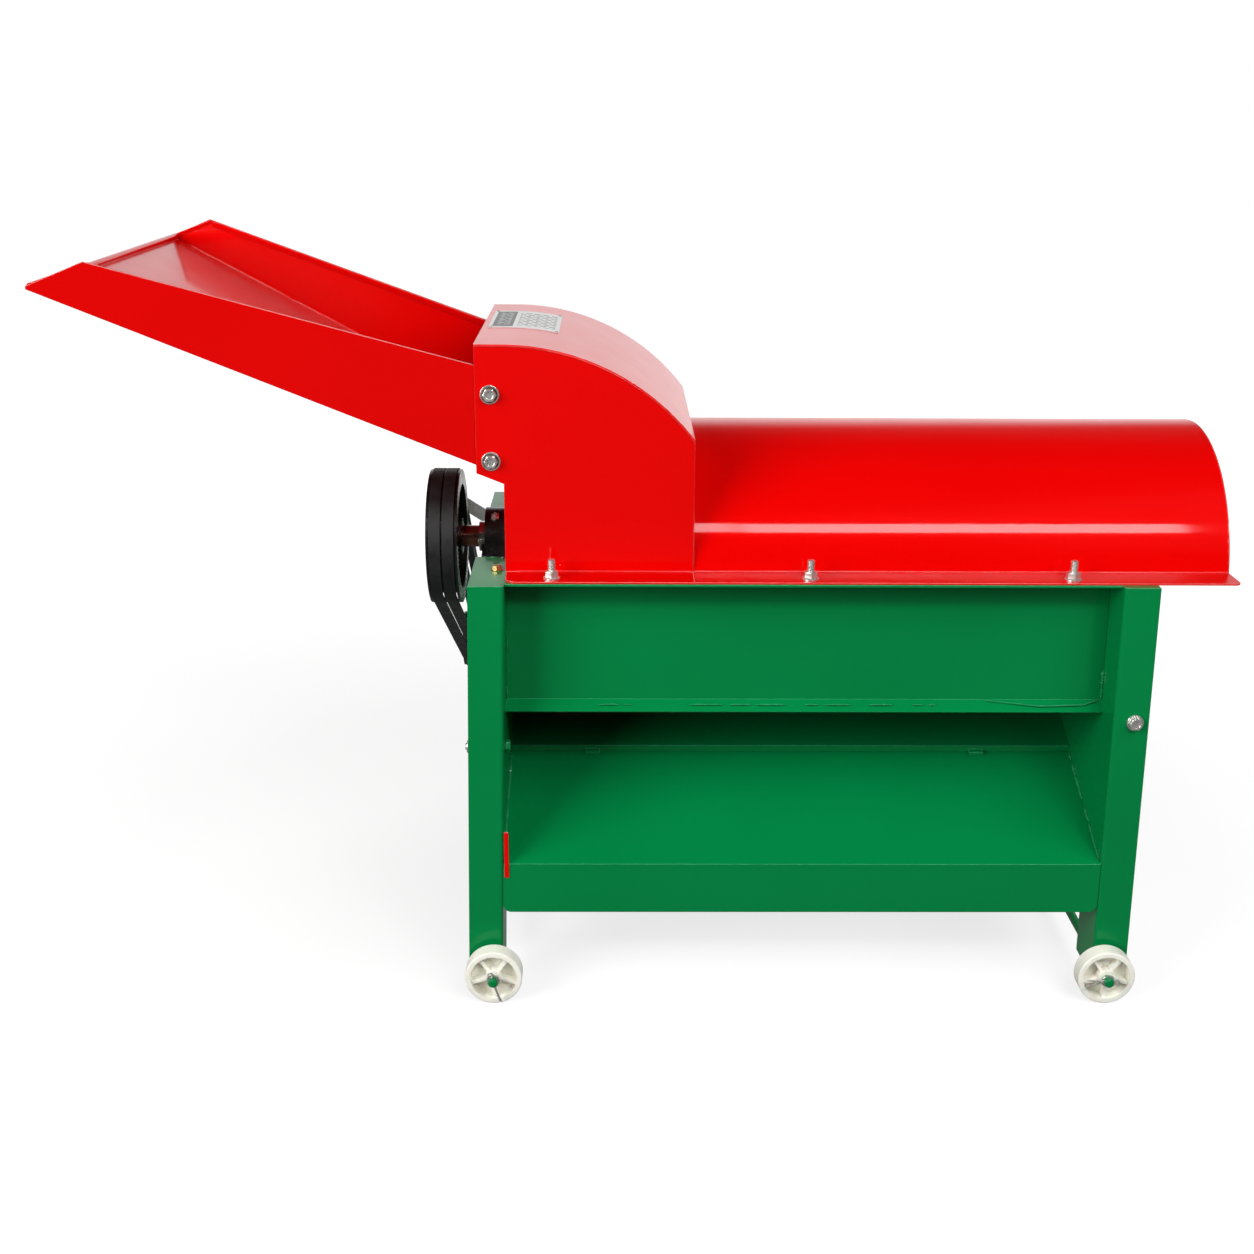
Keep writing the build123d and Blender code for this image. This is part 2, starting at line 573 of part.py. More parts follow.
arch_plate = Pos(CENTRE_Y, (STAND_HEIGHT + housing_top(RED_SHEET)[3][1]) / 2)
arch_plate *= Rectangle(CHAMBER_WIDTH - 2 * RED_SHEET, housing_top(RED_SHEET)[3][1] - STAND_HEIGHT)
nodes["housing_arch_plate"] = along_x(arch_plate - arch(COVER_RADIUS - RED_SHEET), HOUSING_RIGHT - RED_SHEET,
                                      HOUSING_RIGHT)

# rating plate on the housing's top
PLATE_X = (15.0, 92.0)
PLATE_Y = (166.0, 297.0)
PLATE_THICK = 0.8
band = housing_top(-PLATE_THICK)
plate_band = make_face(Wire([Line(band[0], band[1]), ThreePointArc(*band[1:]), Line(band[3], outer[3]),
                             ThreePointArc(outer[3], outer[2], outer[1]), Line(outer[1], outer[0]),
                             Line(outer[0], band[0])]))
nodes["name_plate"] = along_y(plate_band, *PLATE_Y) & block(*PLATE_X, *PLATE_Y, STAND_HEIGHT, 2 * HOUSING_TOP)


# ---- fasteners ----------------------------------------------------------------------------------------------
def bolt(radius, across_flats, head, length):
    """Hex bolt along +Z: head from -head to 0, shank up to length."""
    shank = disc_z(radius, 0, length, 0, 0)
    shank = chamfer(shank.edges().filter_by(GeomType.CIRCLE).sort_by(Axis.Z)[-1], radius * 0.2)
    cap = along_z(hexagon(across_flats), -head, 0)
    return fused(cap, shank)


def nut(radius, across_flats, height, flange=0.0):
    body = along_z(hexagon(across_flats), 0, height)
    if flange:
        body = fused(body, disc_z(flange, 0, 1.6, 0, 0))
    return body - disc_z(radius + FIT, -1, height + 1, 0, 0)


def washer(radius, outer_radius, thick=1.6):
    return disc_z(outer_radius, 0, thick, 0, 0, radius + FIT)


flange_bolts, flange_nuts = [], []
for x in STUD_X:
    for y in (STUD_Y, STAND_DEPTH - STUD_Y):
        flange_bolts.append(Pos(x, y, STAND_HEIGHT - PANEL_TOP_THICK) * bolt(M8, M8_AF, 5.3, 25))
        flange_nuts.append(Pos(x, y, ROOF) * nut(M8, M8_AF, 8, M8_WASHER))
nodes["flange_fasteners"] = group(flange_bolts + flange_nuts)

to_back = Rot(-90, 0, 0)       # +Z turned to +Y
chute_bolts, chute_washers, chute_nuts = [], [], []
for x, z in CHUTE_BOLTS:
    set_bolt = Pos(x, WALL_FRONT - 1.6, z) * to_back * bolt(M8, M8_AF, 5.3, 16)
    set_washer = Pos(x, WALL_FRONT - 1.6, z) * to_back * washer(M8, M8_WASHER + 1)
    set_nut = Pos(x, WALL_FRONT + RED_SHEET + CHUTE_SHEET, z) * to_back * nut(M8, M8_AF, 6.5)
    chute_bolts += [set_bolt, mirror_back(set_bolt)]
    chute_washers += [set_washer, mirror_back(set_washer)]
    chute_nuts += [set_nut, mirror_back(set_nut)]
nodes["chute_fasteners"] = group(chute_bolts + chute_washers + chute_nuts)

leg_bolt = Pos(LEG_BOLT[0], -1.6, LEG_BOLT[1]) * to_back * bolt(M8, M8_AF, 5.3, 16)
leg_washer = Pos(LEG_BOLT[0], -1.6, LEG_BOLT[1]) * to_back * washer(M8, M8_WASHER)
leg_nut = Pos(LEG_BOLT[0], STAND_SHEET, LEG_BOLT[1]) * to_back * nut(M8, M8_AF, 6.5)
to_left = Rot(0, -90, 0)       # +Z turned to -X
stud_x = inner_edge(GUARD_STUD[1])
STUD_LENGTH = 44.0
side_stud = Pos(stud_x + RUN, *GUARD_STUD) * to_left * bolt(M8, M8_AF, 5.3, STUD_LENGTH)
side_nut = Pos(stud_x - STUD_LENGTH + 8, *GUARD_STUD) * to_left * nut(M8, M8_AF, 6.5)
top_bolts = []
for y in (TOP_BOLT[1], STAND_DEPTH - TOP_BOLT[1]):
    turned = Pos(TOP_BOLT[0], y, STAND_HEIGHT) * Rot(180, 0, 0)
    top_bolts.append(turned * bolt(3.0, 10.0, 4.0, 12))

# flat stay for a belt guard, on the rear leg's back face
STAY_REACH = 76.0
STAY_SLOPE = 33.0
STAY_WIDTH = 10.0
STAY_THICK = 3.0
STAY_HOLE = 4.5
stay = Pos(-STAY_REACH / 2, 0) * SlotOverall(STAY_REACH + STAY_WIDTH * 1.6, STAY_WIDTH * 1.6)
stay = along_y(Pos(*STAY_BOLT) * Rot(0, 0, -STAY_SLOPE) * stay, STAND_DEPTH, STAND_DEPTH + STAY_THICK)
stay -= disc_y(M8 + HOLE, CENTRE_Y, 2 * STAND_DEPTH, *STAY_BOLT)
stay_end = (STAY_BOLT[0] - STAY_REACH * cos(radians(STAY_SLOPE)), STAY_BOLT[1] + STAY_REACH * sin(radians(STAY_SLOPE)))
stay -= disc_y(STAY_HOLE, CENTRE_Y, 2 * STAND_DEPTH, *stay_end)
nodes["guard_stay"] = stay
to_front = Rot(90, 0, 0)       # +Z turned to -Y
stay_bolt = Pos(STAY_BOLT[0], STAND_DEPTH + STAY_THICK, STAY_BOLT[1]) * to_front * bolt(M8, M8_AF, 5.3, 16)
stay_nut = Pos(STAY_BOLT[0], STAND_DEPTH - STAND_SHEET, STAY_BOLT[1]) * to_front * nut(M8, M8_AF, 6.5)
nodes["stand_bolts"] = group([leg_bolt, leg_washer, leg_nut, side_stud, side_nut, stay_bolt, stay_nut] + top_bolts)


# ---- pillow blocks ------------------------------------------------------------------------------------------
def pillow_block():
    x0, x1 = BLOCK_CENTRE - BLOCK_BASE_WIDTH / 2, BLOCK_CENTRE + BLOCK_BASE_WIDTH / 2
    y0, y1 = CENTRE_Y - BLOCK_LENGTH / 2, CENTRE_Y + BLOCK_LENGTH / 2
    base = block(x0, x1, y0, y1, SEAT_TOP, SEAT_TOP + BLOCK_BASE_HEIGHT)
    base = fillet(base.edges().filter_by(Axis.Z), 8)
    d0, d1 = BLOCK_CENTRE - BLOCK_DOME_WIDTH / 2, BLOCK_CENTRE + BLOCK_DOME_WIDTH / 2
    dome = disc_x(BLOCK_DOME_RADIUS, d0, d1, CENTRE_Y, SHAFT_HEIGHT)
    shoulder = BLOCK_DOME_RADIUS + 9
    cheek = along_x(outline((CENTRE_Y - shoulder, SEAT_TOP + 2), (CENTRE_Y + shoulder, SEAT_TOP + 2),
                            (CENTRE_Y + BLOCK_DOME_RADIUS * 0.98, SHAFT_HEIGHT),
                            (CENTRE_Y - BLOCK_DOME_RADIUS * 0.98, SHAFT_HEIGHT)), d0, d1)
    body = fused(base, dome, cheek)
    body -= disc_x(RACE_OUTER, x0 - 1, x1 + 1, CENTRE_Y, SHAFT_HEIGHT)
    for y in (CENTRE_Y - BLOCK_BOLT_PITCH / 2, CENTRE_Y + BLOCK_BOLT_PITCH / 2):
        body -= disc_z(M10 + HOLE, 0, STAND_HEIGHT, BLOCK_CENTRE, y)
    return body


left_block = pillow_block()
nodes["pillow_block_left"] = left_block
nodes["pillow_block_right"] = mirror_ends(left_block)
race = disc_x(RACE_OUTER - FIT, BLOCK_CENTRE - RACE_WIDTH / 2, BLOCK_CENTRE + RACE_WIDTH / 2, CENTRE_Y,
              SHAFT_HEIGHT, RACE_SPLIT)
nodes["bearing_outer_rings"] = group([race, mirror_ends(race)])
inner_ring = disc_x(RACE_SPLIT - RUN, BLOCK_CENTRE - INNER_LONG, BLOCK_CENTRE + INNER_SHORT, CENTRE_Y,
                    SHAFT_HEIGHT, SHAFT_RADIUS + FIT)
inner_ring = chamfer(inner_ring.edges().filter_by(GeomType.CIRCLE).sort_by(Axis.X)[1], 1.0)
nodes["bearing_inner_rings"] = group([inner_ring, mirror_ends(inner_ring)])
NIPPLE_TILT = 35.0
nipple = Pos(BLOCK_CENTRE, CENTRE_Y, SHAFT_HEIGHT) * Rot(NIPPLE_TILT, 0, 0)
nipple *= (disc_z(3.0, BLOCK_DOME_RADIUS, BLOCK_DOME_RADIUS + 3, 0, 0).fuse(
    disc_z(1.8, BLOCK_DOME_RADIUS + 2.9, BLOCK_DOME_RADIUS + 6, 0, 0)))
nodes["grease_nipples"] = group([nipple, mirror_ends(nipple)])
block_bolts = []
for y in (CENTRE_Y - BLOCK_BOLT_PITCH / 2, CENTRE_Y + BLOCK_BOLT_PITCH / 2):
    top = SEAT_TOP + BLOCK_BASE_HEIGHT
    one = Pos(BLOCK_CENTRE, y, top) * Rot(180, 0, 0) * bolt(M10, 16, 6.4, 32)
    under = Pos(BLOCK_CENTRE, y, SEAT_TOP - SEAT_THICK - 8) * nut(M10, 16, 8)
    block_bolts += [one, under, mirror_ends(one), mirror_ends(under)]
nodes["bearing_bolts"] = group(block_bolts)


# ---- drum ---------------------------------------------------------------------------------------------------
SHAFT_LEFT = PULLEY_LEFT - 4
SHAFT_RIGHT = STAND_LENGTH + 34
shaft = fused(disc_x(SHAFT_RADIUS, SHAFT_LEFT, SHAFT_RIGHT, CENTRE_Y, SHAFT_HEIGHT),
              disc_x(STUB_RADIUS, SHAFT_RIGHT - 1, SHAFT_RIGHT + STUB_LENGTH, CENTRE_Y, SHAFT_HEIGHT))
nodes["drum_shaft"] = chamfer(shaft.edges().filter_by(GeomType.CIRCLE), 1.0)


def on_drum(x, angle, piece):
    """Place a piece drawn along +Z from the axis at a station and angle."""
    return Pos(x, CENTRE_Y, SHAFT_HEIGHT) * Rot(angle, 0, 0) * piece


tube_x = disc_x(DRUM_RADIUS, DRUM_LEFT, DRUM_RIGHT, CENTRE_Y, SHAFT_HEIGHT, DRUM_RADIUS - DRUM_WALL)
heads = [disc_x(DRUM_RADIUS - 1, x, x + 6, CENTRE_Y, SHAFT_HEIGHT, SHAFT_RADIUS + FIT)
         for x in (DRUM_LEFT, DRUM_RIGHT - 6)]
pegs = []
first = DRUM_LEFT + 30
last = DRUM_RIGHT - PADDLE_LENGTH - 40
for row in range(PEG_ROWS):
    for i in range(PEGS_PER_ROW):
        station = first + (last - first) * (i + row / PEG_ROWS) / PEGS_PER_ROW
        angle = row * 360 / PEG_ROWS + 12 * i
        peg = block(-PEG_SIZE / 2, PEG_SIZE / 2, -PEG_SIZE / 2, PEG_SIZE / 2, DRUM_RADIUS, PEG_TIP)
        pegs.append(on_drum(station, angle, peg))
paddles = []
for i in range(PEG_ROWS):
    paddle = block(0, PADDLE_LENGTH, -3, 3, DRUM_RADIUS, PEG_TIP - 4)
    paddles.append(on_drum(DRUM_RIGHT - PADDLE_LENGTH - 6, 45 + i * 90, paddle))
nodes["drum_tube"] = fused(tube_x, *heads)
nodes["drum_pegs"] = group(pegs + paddles)


# ---- concave under the drum ---------------------------------------------------------------------------------
def concave_rib(x):
    tab_low = SHAFT_HEIGHT - 32
    tab_high = SHAFT_HEIGHT - 14
    wall = CHAMBER_WIDTH / 2 - STAND_SHEET - 0.3
    sector = Circle(CONCAVE_RADIUS + RIB_DEPTH) - Circle(CONCAVE_RADIUS)
    keep = Pos(0, -CONCAVE_RADIUS - 14) * Rectangle(4 * CONCAVE_RADIUS, 2 * CONCAVE_RADIUS)
    ends = [Pos(side * (CONCAVE_RADIUS + 4 + wall) / 2, (tab_low + tab_high) / 2 - SHAFT_HEIGHT)
            * Rectangle(wall - CONCAVE_RADIUS - 4, tab_high - tab_low) for side in (-1, 1)]
    face = (sector & keep) + ends[0] + ends[1]
    return along_x(Pos(CENTRE_Y, SHAFT_HEIGHT) * face, x, x + RIB_THICK)


concave_left = HOUSING_STEP + 12
concave_right = STAND_LENGTH - LEG_WIDTH - 12
rib_step = (concave_right - concave_left - RIB_THICK) / (CONCAVE_RIBS - 1)
rod_orbit = CONCAVE_RADIUS + RIB_DEPTH / 2
rod_spots = []
for i in range(CONCAVE_RODS):
    a = radians(-78 + 156 * i / (CONCAVE_RODS - 1) - 90)
    rod_spots.append((CENTRE_Y + rod_orbit * cos(a), SHAFT_HEIGHT + rod_orbit * sin(a)))
drill = group(disc_x(CONCAVE_ROD + FIT, 0, STAND_LENGTH, *spot) for spot in rod_spots)
ribs = [concave_rib(concave_left + i * rib_step) for i in range(CONCAVE_RIBS)]
nodes["concave_ribs"] = group(rib - drill.children for rib in ribs)
nodes["concave_rods"] = group(disc_x(CONCAVE_ROD, concave_left - 4, concave_right + 4, *spot)
                              for spot in rod_spots)
ledge_top = SHAFT_HEIGHT - 32
ledge_y = WALL_FRONT + STAND_SHEET
ledge = along_x(outline((ledge_y, ledge_top), (ledge_y + LEDGE, ledge_top),
                        (ledge_y + LEDGE, ledge_top - LEDGE_THICK), (ledge_y + LEDGE_THICK,
                                                                    ledge_top - LEDGE_THICK),
                        (ledge_y + LEDGE_THICK, ledge_top - LEDGE), (ledge_y, ledge_top - LEDGE)),
                0, STAND_LENGTH) & between_ends()
nodes["concave_ledges"] = group([ledge, mirror_back(ledge)])


# ---- pulleys, keys and belts --------------------------------------------------------------------------------
GROOVES = [PULLEY_LEFT + PULLEY_WIDTH / 2 - GROOVE_PITCH / 2, PULLEY_LEFT + PULLEY_WIDTH / 2 + GROOVE_PITCH / 2]
KEY = 7.0


def pulley(radius, bore, web):
    """Two-groove pulley about the X axis at the origin; a web with windows when web is true."""
    x0, x1 = PULLEY_LEFT, PULLEY_LEFT + PULLEY_WIDTH
    half = GROOVE_TOP / 2
    low = GROOVE_BOTTOM / 2
    points = [(x0, 0), (x0, radius)]
    for centre in GROOVES:
        points += [(centre - half, radius), (centre - low, radius - GROOVE_DEPTH),
                   (centre + low, radius - GROOVE_DEPTH), (centre + half, radius)]
    points += [(x1, radius), (x1, 0)]
    body = revolve(Plane.XZ * outline(*points), Axis.X, 360)
    if web:
        rim = radius - GROOVE_DEPTH - 6
        hub = bore + 8
        pocket = disc_x(rim, x0 - 1, x0 + PULLEY_WIDTH / 2 - 4, 0, 0, hub)
        body = body - pocket - disc_x(rim, x1 - PULLEY_WIDTH / 2 + 4, x1 + 1, 0, 0, hub)
        window_at = (rim + hub) / 2
        for i in range(4):
            a = radians(45 + 90 * i)
            body -= disc_x((rim - hub) / 2 - 5, x0 - 1, x1 + 1, window_at * cos(a), window_at * sin(a))
    body -= disc_x(bore + FIT, x0 - 1, x1 + 1, 0, 0)
    return body


drum_axis = Pos(0, CENTRE_Y, SHAFT_HEIGHT)
motor_axis = Pos(0, MOTOR_Y, MOTOR_Z)
key_slot = block(PULLEY_LEFT - 10, PULLEY_LEFT + PULLEY_WIDTH + 10, -KEY / 2 - FIT, KEY / 2 + FIT, 8.4, 16.1)
key_bar = block(PULLEY_LEFT + 1, PULLEY_LEFT + PULLEY_WIDTH - 1, -KEY / 2, KEY / 2, 8.5, 16)
nodes["drum_pulley"] = drum_axis * (pulley(PULLEY_RADIUS, SHAFT_RADIUS, True) - key_slot)
shaft_slot = block(PULLEY_LEFT + 0.9, PULLEY_LEFT + PULLEY_WIDTH - 0.9, -KEY / 2 - FIT, KEY / 2 + FIT, 8.4, 16.1)
nodes["drum_shaft"] -= drum_axis * shaft_slot
nodes["pulley_keys"] = drum_axis * key_bar
motor_pulley = pulley(MOTOR_PULLEY_RADIUS, MOTOR_SHAFT_RADIUS, False)
nodes["motor_pulley"] = motor_axis * (motor_pulley - key_slot)
nodes["motor_key"] = motor_axis * key_bar

belt_big = PULLEY_RADIUS + BELT_PROUD
belt_small = MOTOR_PULLEY_RADIUS + BELT_PROUD
reach = hypot(MOTOR_Y - CENTRE_Y, MOTOR_Z - SHAFT_HEIGHT)
line_angle = degrees(atan2(MOTOR_Z - SHAFT_HEIGHT, MOTOR_Y - CENTRE_Y))
wrap = degrees(asin((belt_big - belt_small) / reach))
free_run = sqrt(reach ** 2 - (belt_big - belt_small) ** 2)


def belt(x):
    """One V-belt round both pulleys: two arcs and two straight runs."""
    def section(outside):
        high, low = outside, outside - BELT_HEIGHT
        return outline((x - BELT_TOP / 2, high), (x + BELT_TOP / 2, high), (x + BELT_BOTTOM / 2, low),
                       (x - BELT_BOTTOM / 2, low))

    upper = line_angle + 90 - wrap          # direction from an axis to the upper run's tangent points
    lower = line_angle - 90 + wrap
    arc_big = revolve(Plane.XZ * section(belt_big), Axis.X, 180 + 2 * wrap)
    arc_small = revolve(Plane.XZ * section(belt_small), Axis.X, 180 - 2 * wrap)
    run = extrude(Plane.XZ * section(belt_big), free_run, dir=(0, 1, 0))
    parts = [drum_axis * Rot(upper - 90, 0, 0) * arc_big, motor_axis * Rot(lower - 90, 0, 0) * arc_small,
             drum_axis * Rot(upper - 90, 0, 0) * run,
             drum_axis * Rot(lower - 90, 0, 0) * mirror(run, Plane.XZ)]
    return parts


# ---- motor --------------------------------------------------------------------------------------------------
frame_x0 = MOTOR_SHOULDER + MOTOR_BELL
frame_x1 = frame_x0 + MOTOR_FRAME
shell = disc_x(MOTOR_RADIUS, frame_x0, frame_x1, 0, 0, MOTOR_RADIUS - MOTOR_WALL)
fins = []
for i in range(FIN_COUNT):
    fin = block(frame_x0 + 3, frame_x1 - 3, -FIN_THICK / 2, FIN_THICK / 2, MOTOR_RADIUS - 1,
                MOTOR_RADIUS + FIN_HEIGHT)
    angle = 360 * (i + 0.5) / FIN_COUNT
    if min(angle, 360 - angle) > 24 and abs(angle - 180) > 40:
        fins.append(Rot(angle, 0, 0) * fin)
FOOT_WEB = 10.0


def web_top(y):
    """Height of a point inside the motor shell's wall."""
    return -sqrt((MOTOR_RADIUS - MOTOR_WALL / 2) ** 2 - y ** 2)


feet = []
for side in (-1, 1):
    y_out = side * (FOOT_PITCH_Y / 2 + 15)
    y_in = side * (FOOT_PITCH_Y / 2 - 22)
    pad = block(FOOT_X[0] - 14, FOOT_X[1] + 14, min(y_in, y_out), max(y_in, y_out), -MOTOR_SHAFT_HEIGHT,
                -MOTOR_SHAFT_HEIGHT + FOOT_THICK)
    web_out = along_x(outline((y_in, -MOTOR_SHAFT_HEIGHT), (y_in + side * FOOT_WEB, -MOTOR_SHAFT_HEIGHT),
                              (y_in + side * FOOT_WEB, web_top(y_in + side * FOOT_WEB)), (y_in, web_top(y_in))),
                      FOOT_X[0] - 14, FOOT_X[1] + 14)
    for x in FOOT_X:
        pad -= disc_z(M8 + 2 * HOLE, -2 * MOTOR_Z, 0, x, side * FOOT_PITCH_Y / 2)
    feet += [pad, web_out]
nodes["motor_frame"] = motor_axis * fused(shell, *fins, *feet)

bell = fused(disc_x(MOTOR_RADIUS + 3, MOTOR_SHOULDER + 12, frame_x0, 0, 0),
             disc_x(52, MOTOR_SHOULDER, MOTOR_SHOULDER + 13, 0, 0))
bell -= disc_x(MOTOR_RADIUS - MOTOR_WALL, MOTOR_SHOULDER + 20, frame_x0 + 1, 0, 0)
bell -= disc_x(MOTOR_RACE, -100, 100, 0, 0)
rear_plate = disc_x(MOTOR_RADIUS + 3, frame_x1, frame_x1 + MOTOR_REAR_BELL, 0, 0, MOTOR_RACE)
nodes["motor_end_bells"] = group([motor_axis * bell, motor_axis * rear_plate])
front_race = disc_x(MOTOR_RACE - FIT, MOTOR_SHOULDER + 2, MOTOR_SHOULDER + 17, 0, 0, MOTOR_SHAFT_RADIUS + RUN)
rear_race = disc_x(MOTOR_RACE - FIT, frame_x1 - 2, frame_x1 + MOTOR_REAR_BELL - 1, 0, 0, MOTOR_TAIL + RUN)
nodes["motor_bearings"] = group([motor_axis * front_race, motor_axis * rear_race])
cover_x0, cover_x1 = frame_x1 + MOTOR_REAR_BELL, frame_x1 + MOTOR_FAN_COVER
fan_cover = disc_x(MOTOR_RADIUS + 5, cover_x0, cover_x1, 0, 0)
fan_cover = fillet(fan_cover.edges().filter_by(GeomType.CIRCLE).sort_by(Axis.X)[-1], 10)
cavity = disc_x(MOTOR_RADIUS + 3, cover_x0 - 1, cover_x1 - 2, 0, 0)
fan_cover -= fillet(cavity.edges().filter_by(GeomType.CIRCLE).sort_by(Axis.X)[-1], 8)
for ring in range(1, 5):
    for i in range(4 * ring):
        a = radians(360 * i / (4 * ring) + 8 * ring)
        spot = 13.5 * ring
        fan_cover -= disc_x(4.0, cover_x1 - 5, cover_x1 + 1, spot * cos(a), spot * sin(a))
nodes["motor_fan_cover"] = motor_axis * fan_cover
box_x = (frame_x0 + 40, frame_x0 + 120)
terminal = block(*box_x, -34, 34, MOTOR_RADIUS - 2, MOTOR_RADIUS + 40)
terminal = fillet(terminal.edges().filter_by(Axis.Z), 6)
terminal -= disc_x(MOTOR_RADIUS, 0, 2 * frame_x1, 0, 0)
nodes["motor_terminal_box"] = motor_axis * terminal
nodes["cable_gland"] = motor_axis * disc_x(8, box_x[1], box_x[1] + 16, 0, MOTOR_RADIUS + 20, 4)
nodes["motor_stator"] = motor_axis * disc_x(MOTOR_RADIUS - MOTOR_WALL - FIT, frame_x0 + 30, frame_x1 - 30, 0, 0,
                                            42)
nodes["motor_rotor"] = motor_axis * disc_x(41.4, frame_x0 + 30, frame_x1 - 30, 0, 0, MOTOR_CORE + FIT)
shaft_main = disc_x(MOTOR_SHAFT_RADIUS, PULLEY_LEFT - 2, frame_x0 + 12, 0, 0)
shaft_mid = disc_x(MOTOR_CORE, frame_x0 + 12, frame_x1 - 12, 0, 0)
shaft_tail = disc_x(MOTOR_TAIL, frame_x1 - 12, cover_x1 - 14, 0, 0)
nodes["motor_shaft"] = motor_axis * (fused(shaft_main, shaft_mid, shaft_tail) - shaft_slot)
blades = [Rot(i * 60, 0, 0) * block(cover_x0 + 14, cover_x1 - 18, -1.5, 1.5, 15, MOTOR_RADIUS - 6)
          for i in range(6)]
hub = disc_x(20, cover_x0 + 6, cover_x1 - 18, 0, 0)
backing = disc_x(MOTOR_RADIUS - 6, cover_x0 + 12, cover_x0 + 15, 0, 0)
fan = fused(hub, backing, *blades) - disc_x(MOTOR_TAIL + FIT, 0, 2 * cover_x1, 0, 0)
nodes["motor_fan"] = motor_axis * fan
motor_bolts = []
for x in FOOT_X:
    for y in FOOT_Y:
        motor_bolts.append(Pos(x, y, RAIL_TOP + FOOT_THICK) * Rot(180, 0, 0) * bolt(M8, M8_AF, 5.3, 48))
        motor_bolts.append(Pos(x, y, CROSS_TOP - 6.5) * nut(M8, M8_AF, 6.5, 10))
nodes["motor_bolts"] = group(motor_bolts)
nodes["drive_belts"] = group(fused(*belt(x)) for x in GROOVES)

# ---- one shared origin and the files -------------------------------------------------------------------------
whole = Compound(children=[Compound(children=list(n.solids())) for n in nodes.values()]).bounding_box()
ORIGIN = ((whole.min.X + whole.max.X) / 2, (whole.min.Y + whole.max.Y) / 2, whole.min.Z)
os.makedirs("parts", exist_ok=True)
for name, shape in nodes.items():
    moved = [Pos(-ORIGIN[0], -ORIGIN[1], -ORIGIN[2]) * solid for solid in shape.solids()]
    export_step(moved[0] if len(moved) == 1 else Compound(children=moved), "parts/" + name + ".step")
print("origin", [round(v, 4) for v in ORIGIN], "size", [round(v, 2) for v in whole.size])
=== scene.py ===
"""Looks of the corn sheller: paint, metal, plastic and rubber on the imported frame, with the small pieces that the
frame leaves out, such as welds, hems, threads, split pins and the plate's print."""

import json
from math import atan2, cos, pi, radians, sin, sqrt
import random

import bmesh
import bpy
from mathutils import Matrix, Vector


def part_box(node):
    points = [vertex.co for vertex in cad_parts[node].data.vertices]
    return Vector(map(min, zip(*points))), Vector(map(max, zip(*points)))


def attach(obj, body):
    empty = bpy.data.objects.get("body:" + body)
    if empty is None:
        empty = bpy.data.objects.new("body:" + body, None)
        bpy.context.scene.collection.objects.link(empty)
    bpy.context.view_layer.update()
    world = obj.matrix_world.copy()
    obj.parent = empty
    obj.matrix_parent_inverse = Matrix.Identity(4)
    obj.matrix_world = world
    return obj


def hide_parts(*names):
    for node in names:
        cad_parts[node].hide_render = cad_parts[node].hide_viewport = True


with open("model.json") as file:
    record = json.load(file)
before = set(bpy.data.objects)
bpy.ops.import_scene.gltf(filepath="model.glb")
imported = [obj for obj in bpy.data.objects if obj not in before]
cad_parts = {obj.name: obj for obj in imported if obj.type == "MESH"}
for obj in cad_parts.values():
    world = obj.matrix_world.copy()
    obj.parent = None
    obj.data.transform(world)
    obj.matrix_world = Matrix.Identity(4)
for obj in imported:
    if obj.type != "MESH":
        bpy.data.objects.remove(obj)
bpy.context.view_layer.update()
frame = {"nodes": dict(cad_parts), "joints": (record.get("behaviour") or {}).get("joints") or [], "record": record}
nodes = frame["nodes"]
random.seed(7)

# ---- places -------------------------------------------------------------------------------------------------
left_low, left_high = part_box("end_frame_left")
right_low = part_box("end_frame_right")[0]
LEG_MM, LEG_TAPER_MM, STAND_MM = 38, 10, 480  # a leg's face at the top, how much it narrows, the stand's height
LEG = LEG_MM / 1000
CORNER = Vector((left_high.x - LEG, left_low.y, 0.0))      # belt-side front corner of the stand, on the floor
STAND_LENGTH = right_low.x + LEG - CORNER.x
STAND_TOP = left_high.z
joints = {j["name"]: Vector(j["pos_m"]) for j in frame["joints"]}
DRUM = joints["drum_spin"]
MOTOR = joints["motor_spin"]
CENTRE_Y = DRUM.y


def at(x, y, z):
    """A point given in millimetres from the stand's belt-side front corner."""
    return CORNER + Vector((x, y, z)) / 1000


def mirrored(point):
    """The same point on the other side of the drum axis."""
    return Vector((point[0], 2 * CENTRE_Y - point[1], point[2]))


def inner_edge(z):
    """X of the left end frame's inner face at a height, in millimetres from the corner."""
    return LEG_MM - LEG_TAPER_MM * (STAND_MM - z) / STAND_MM


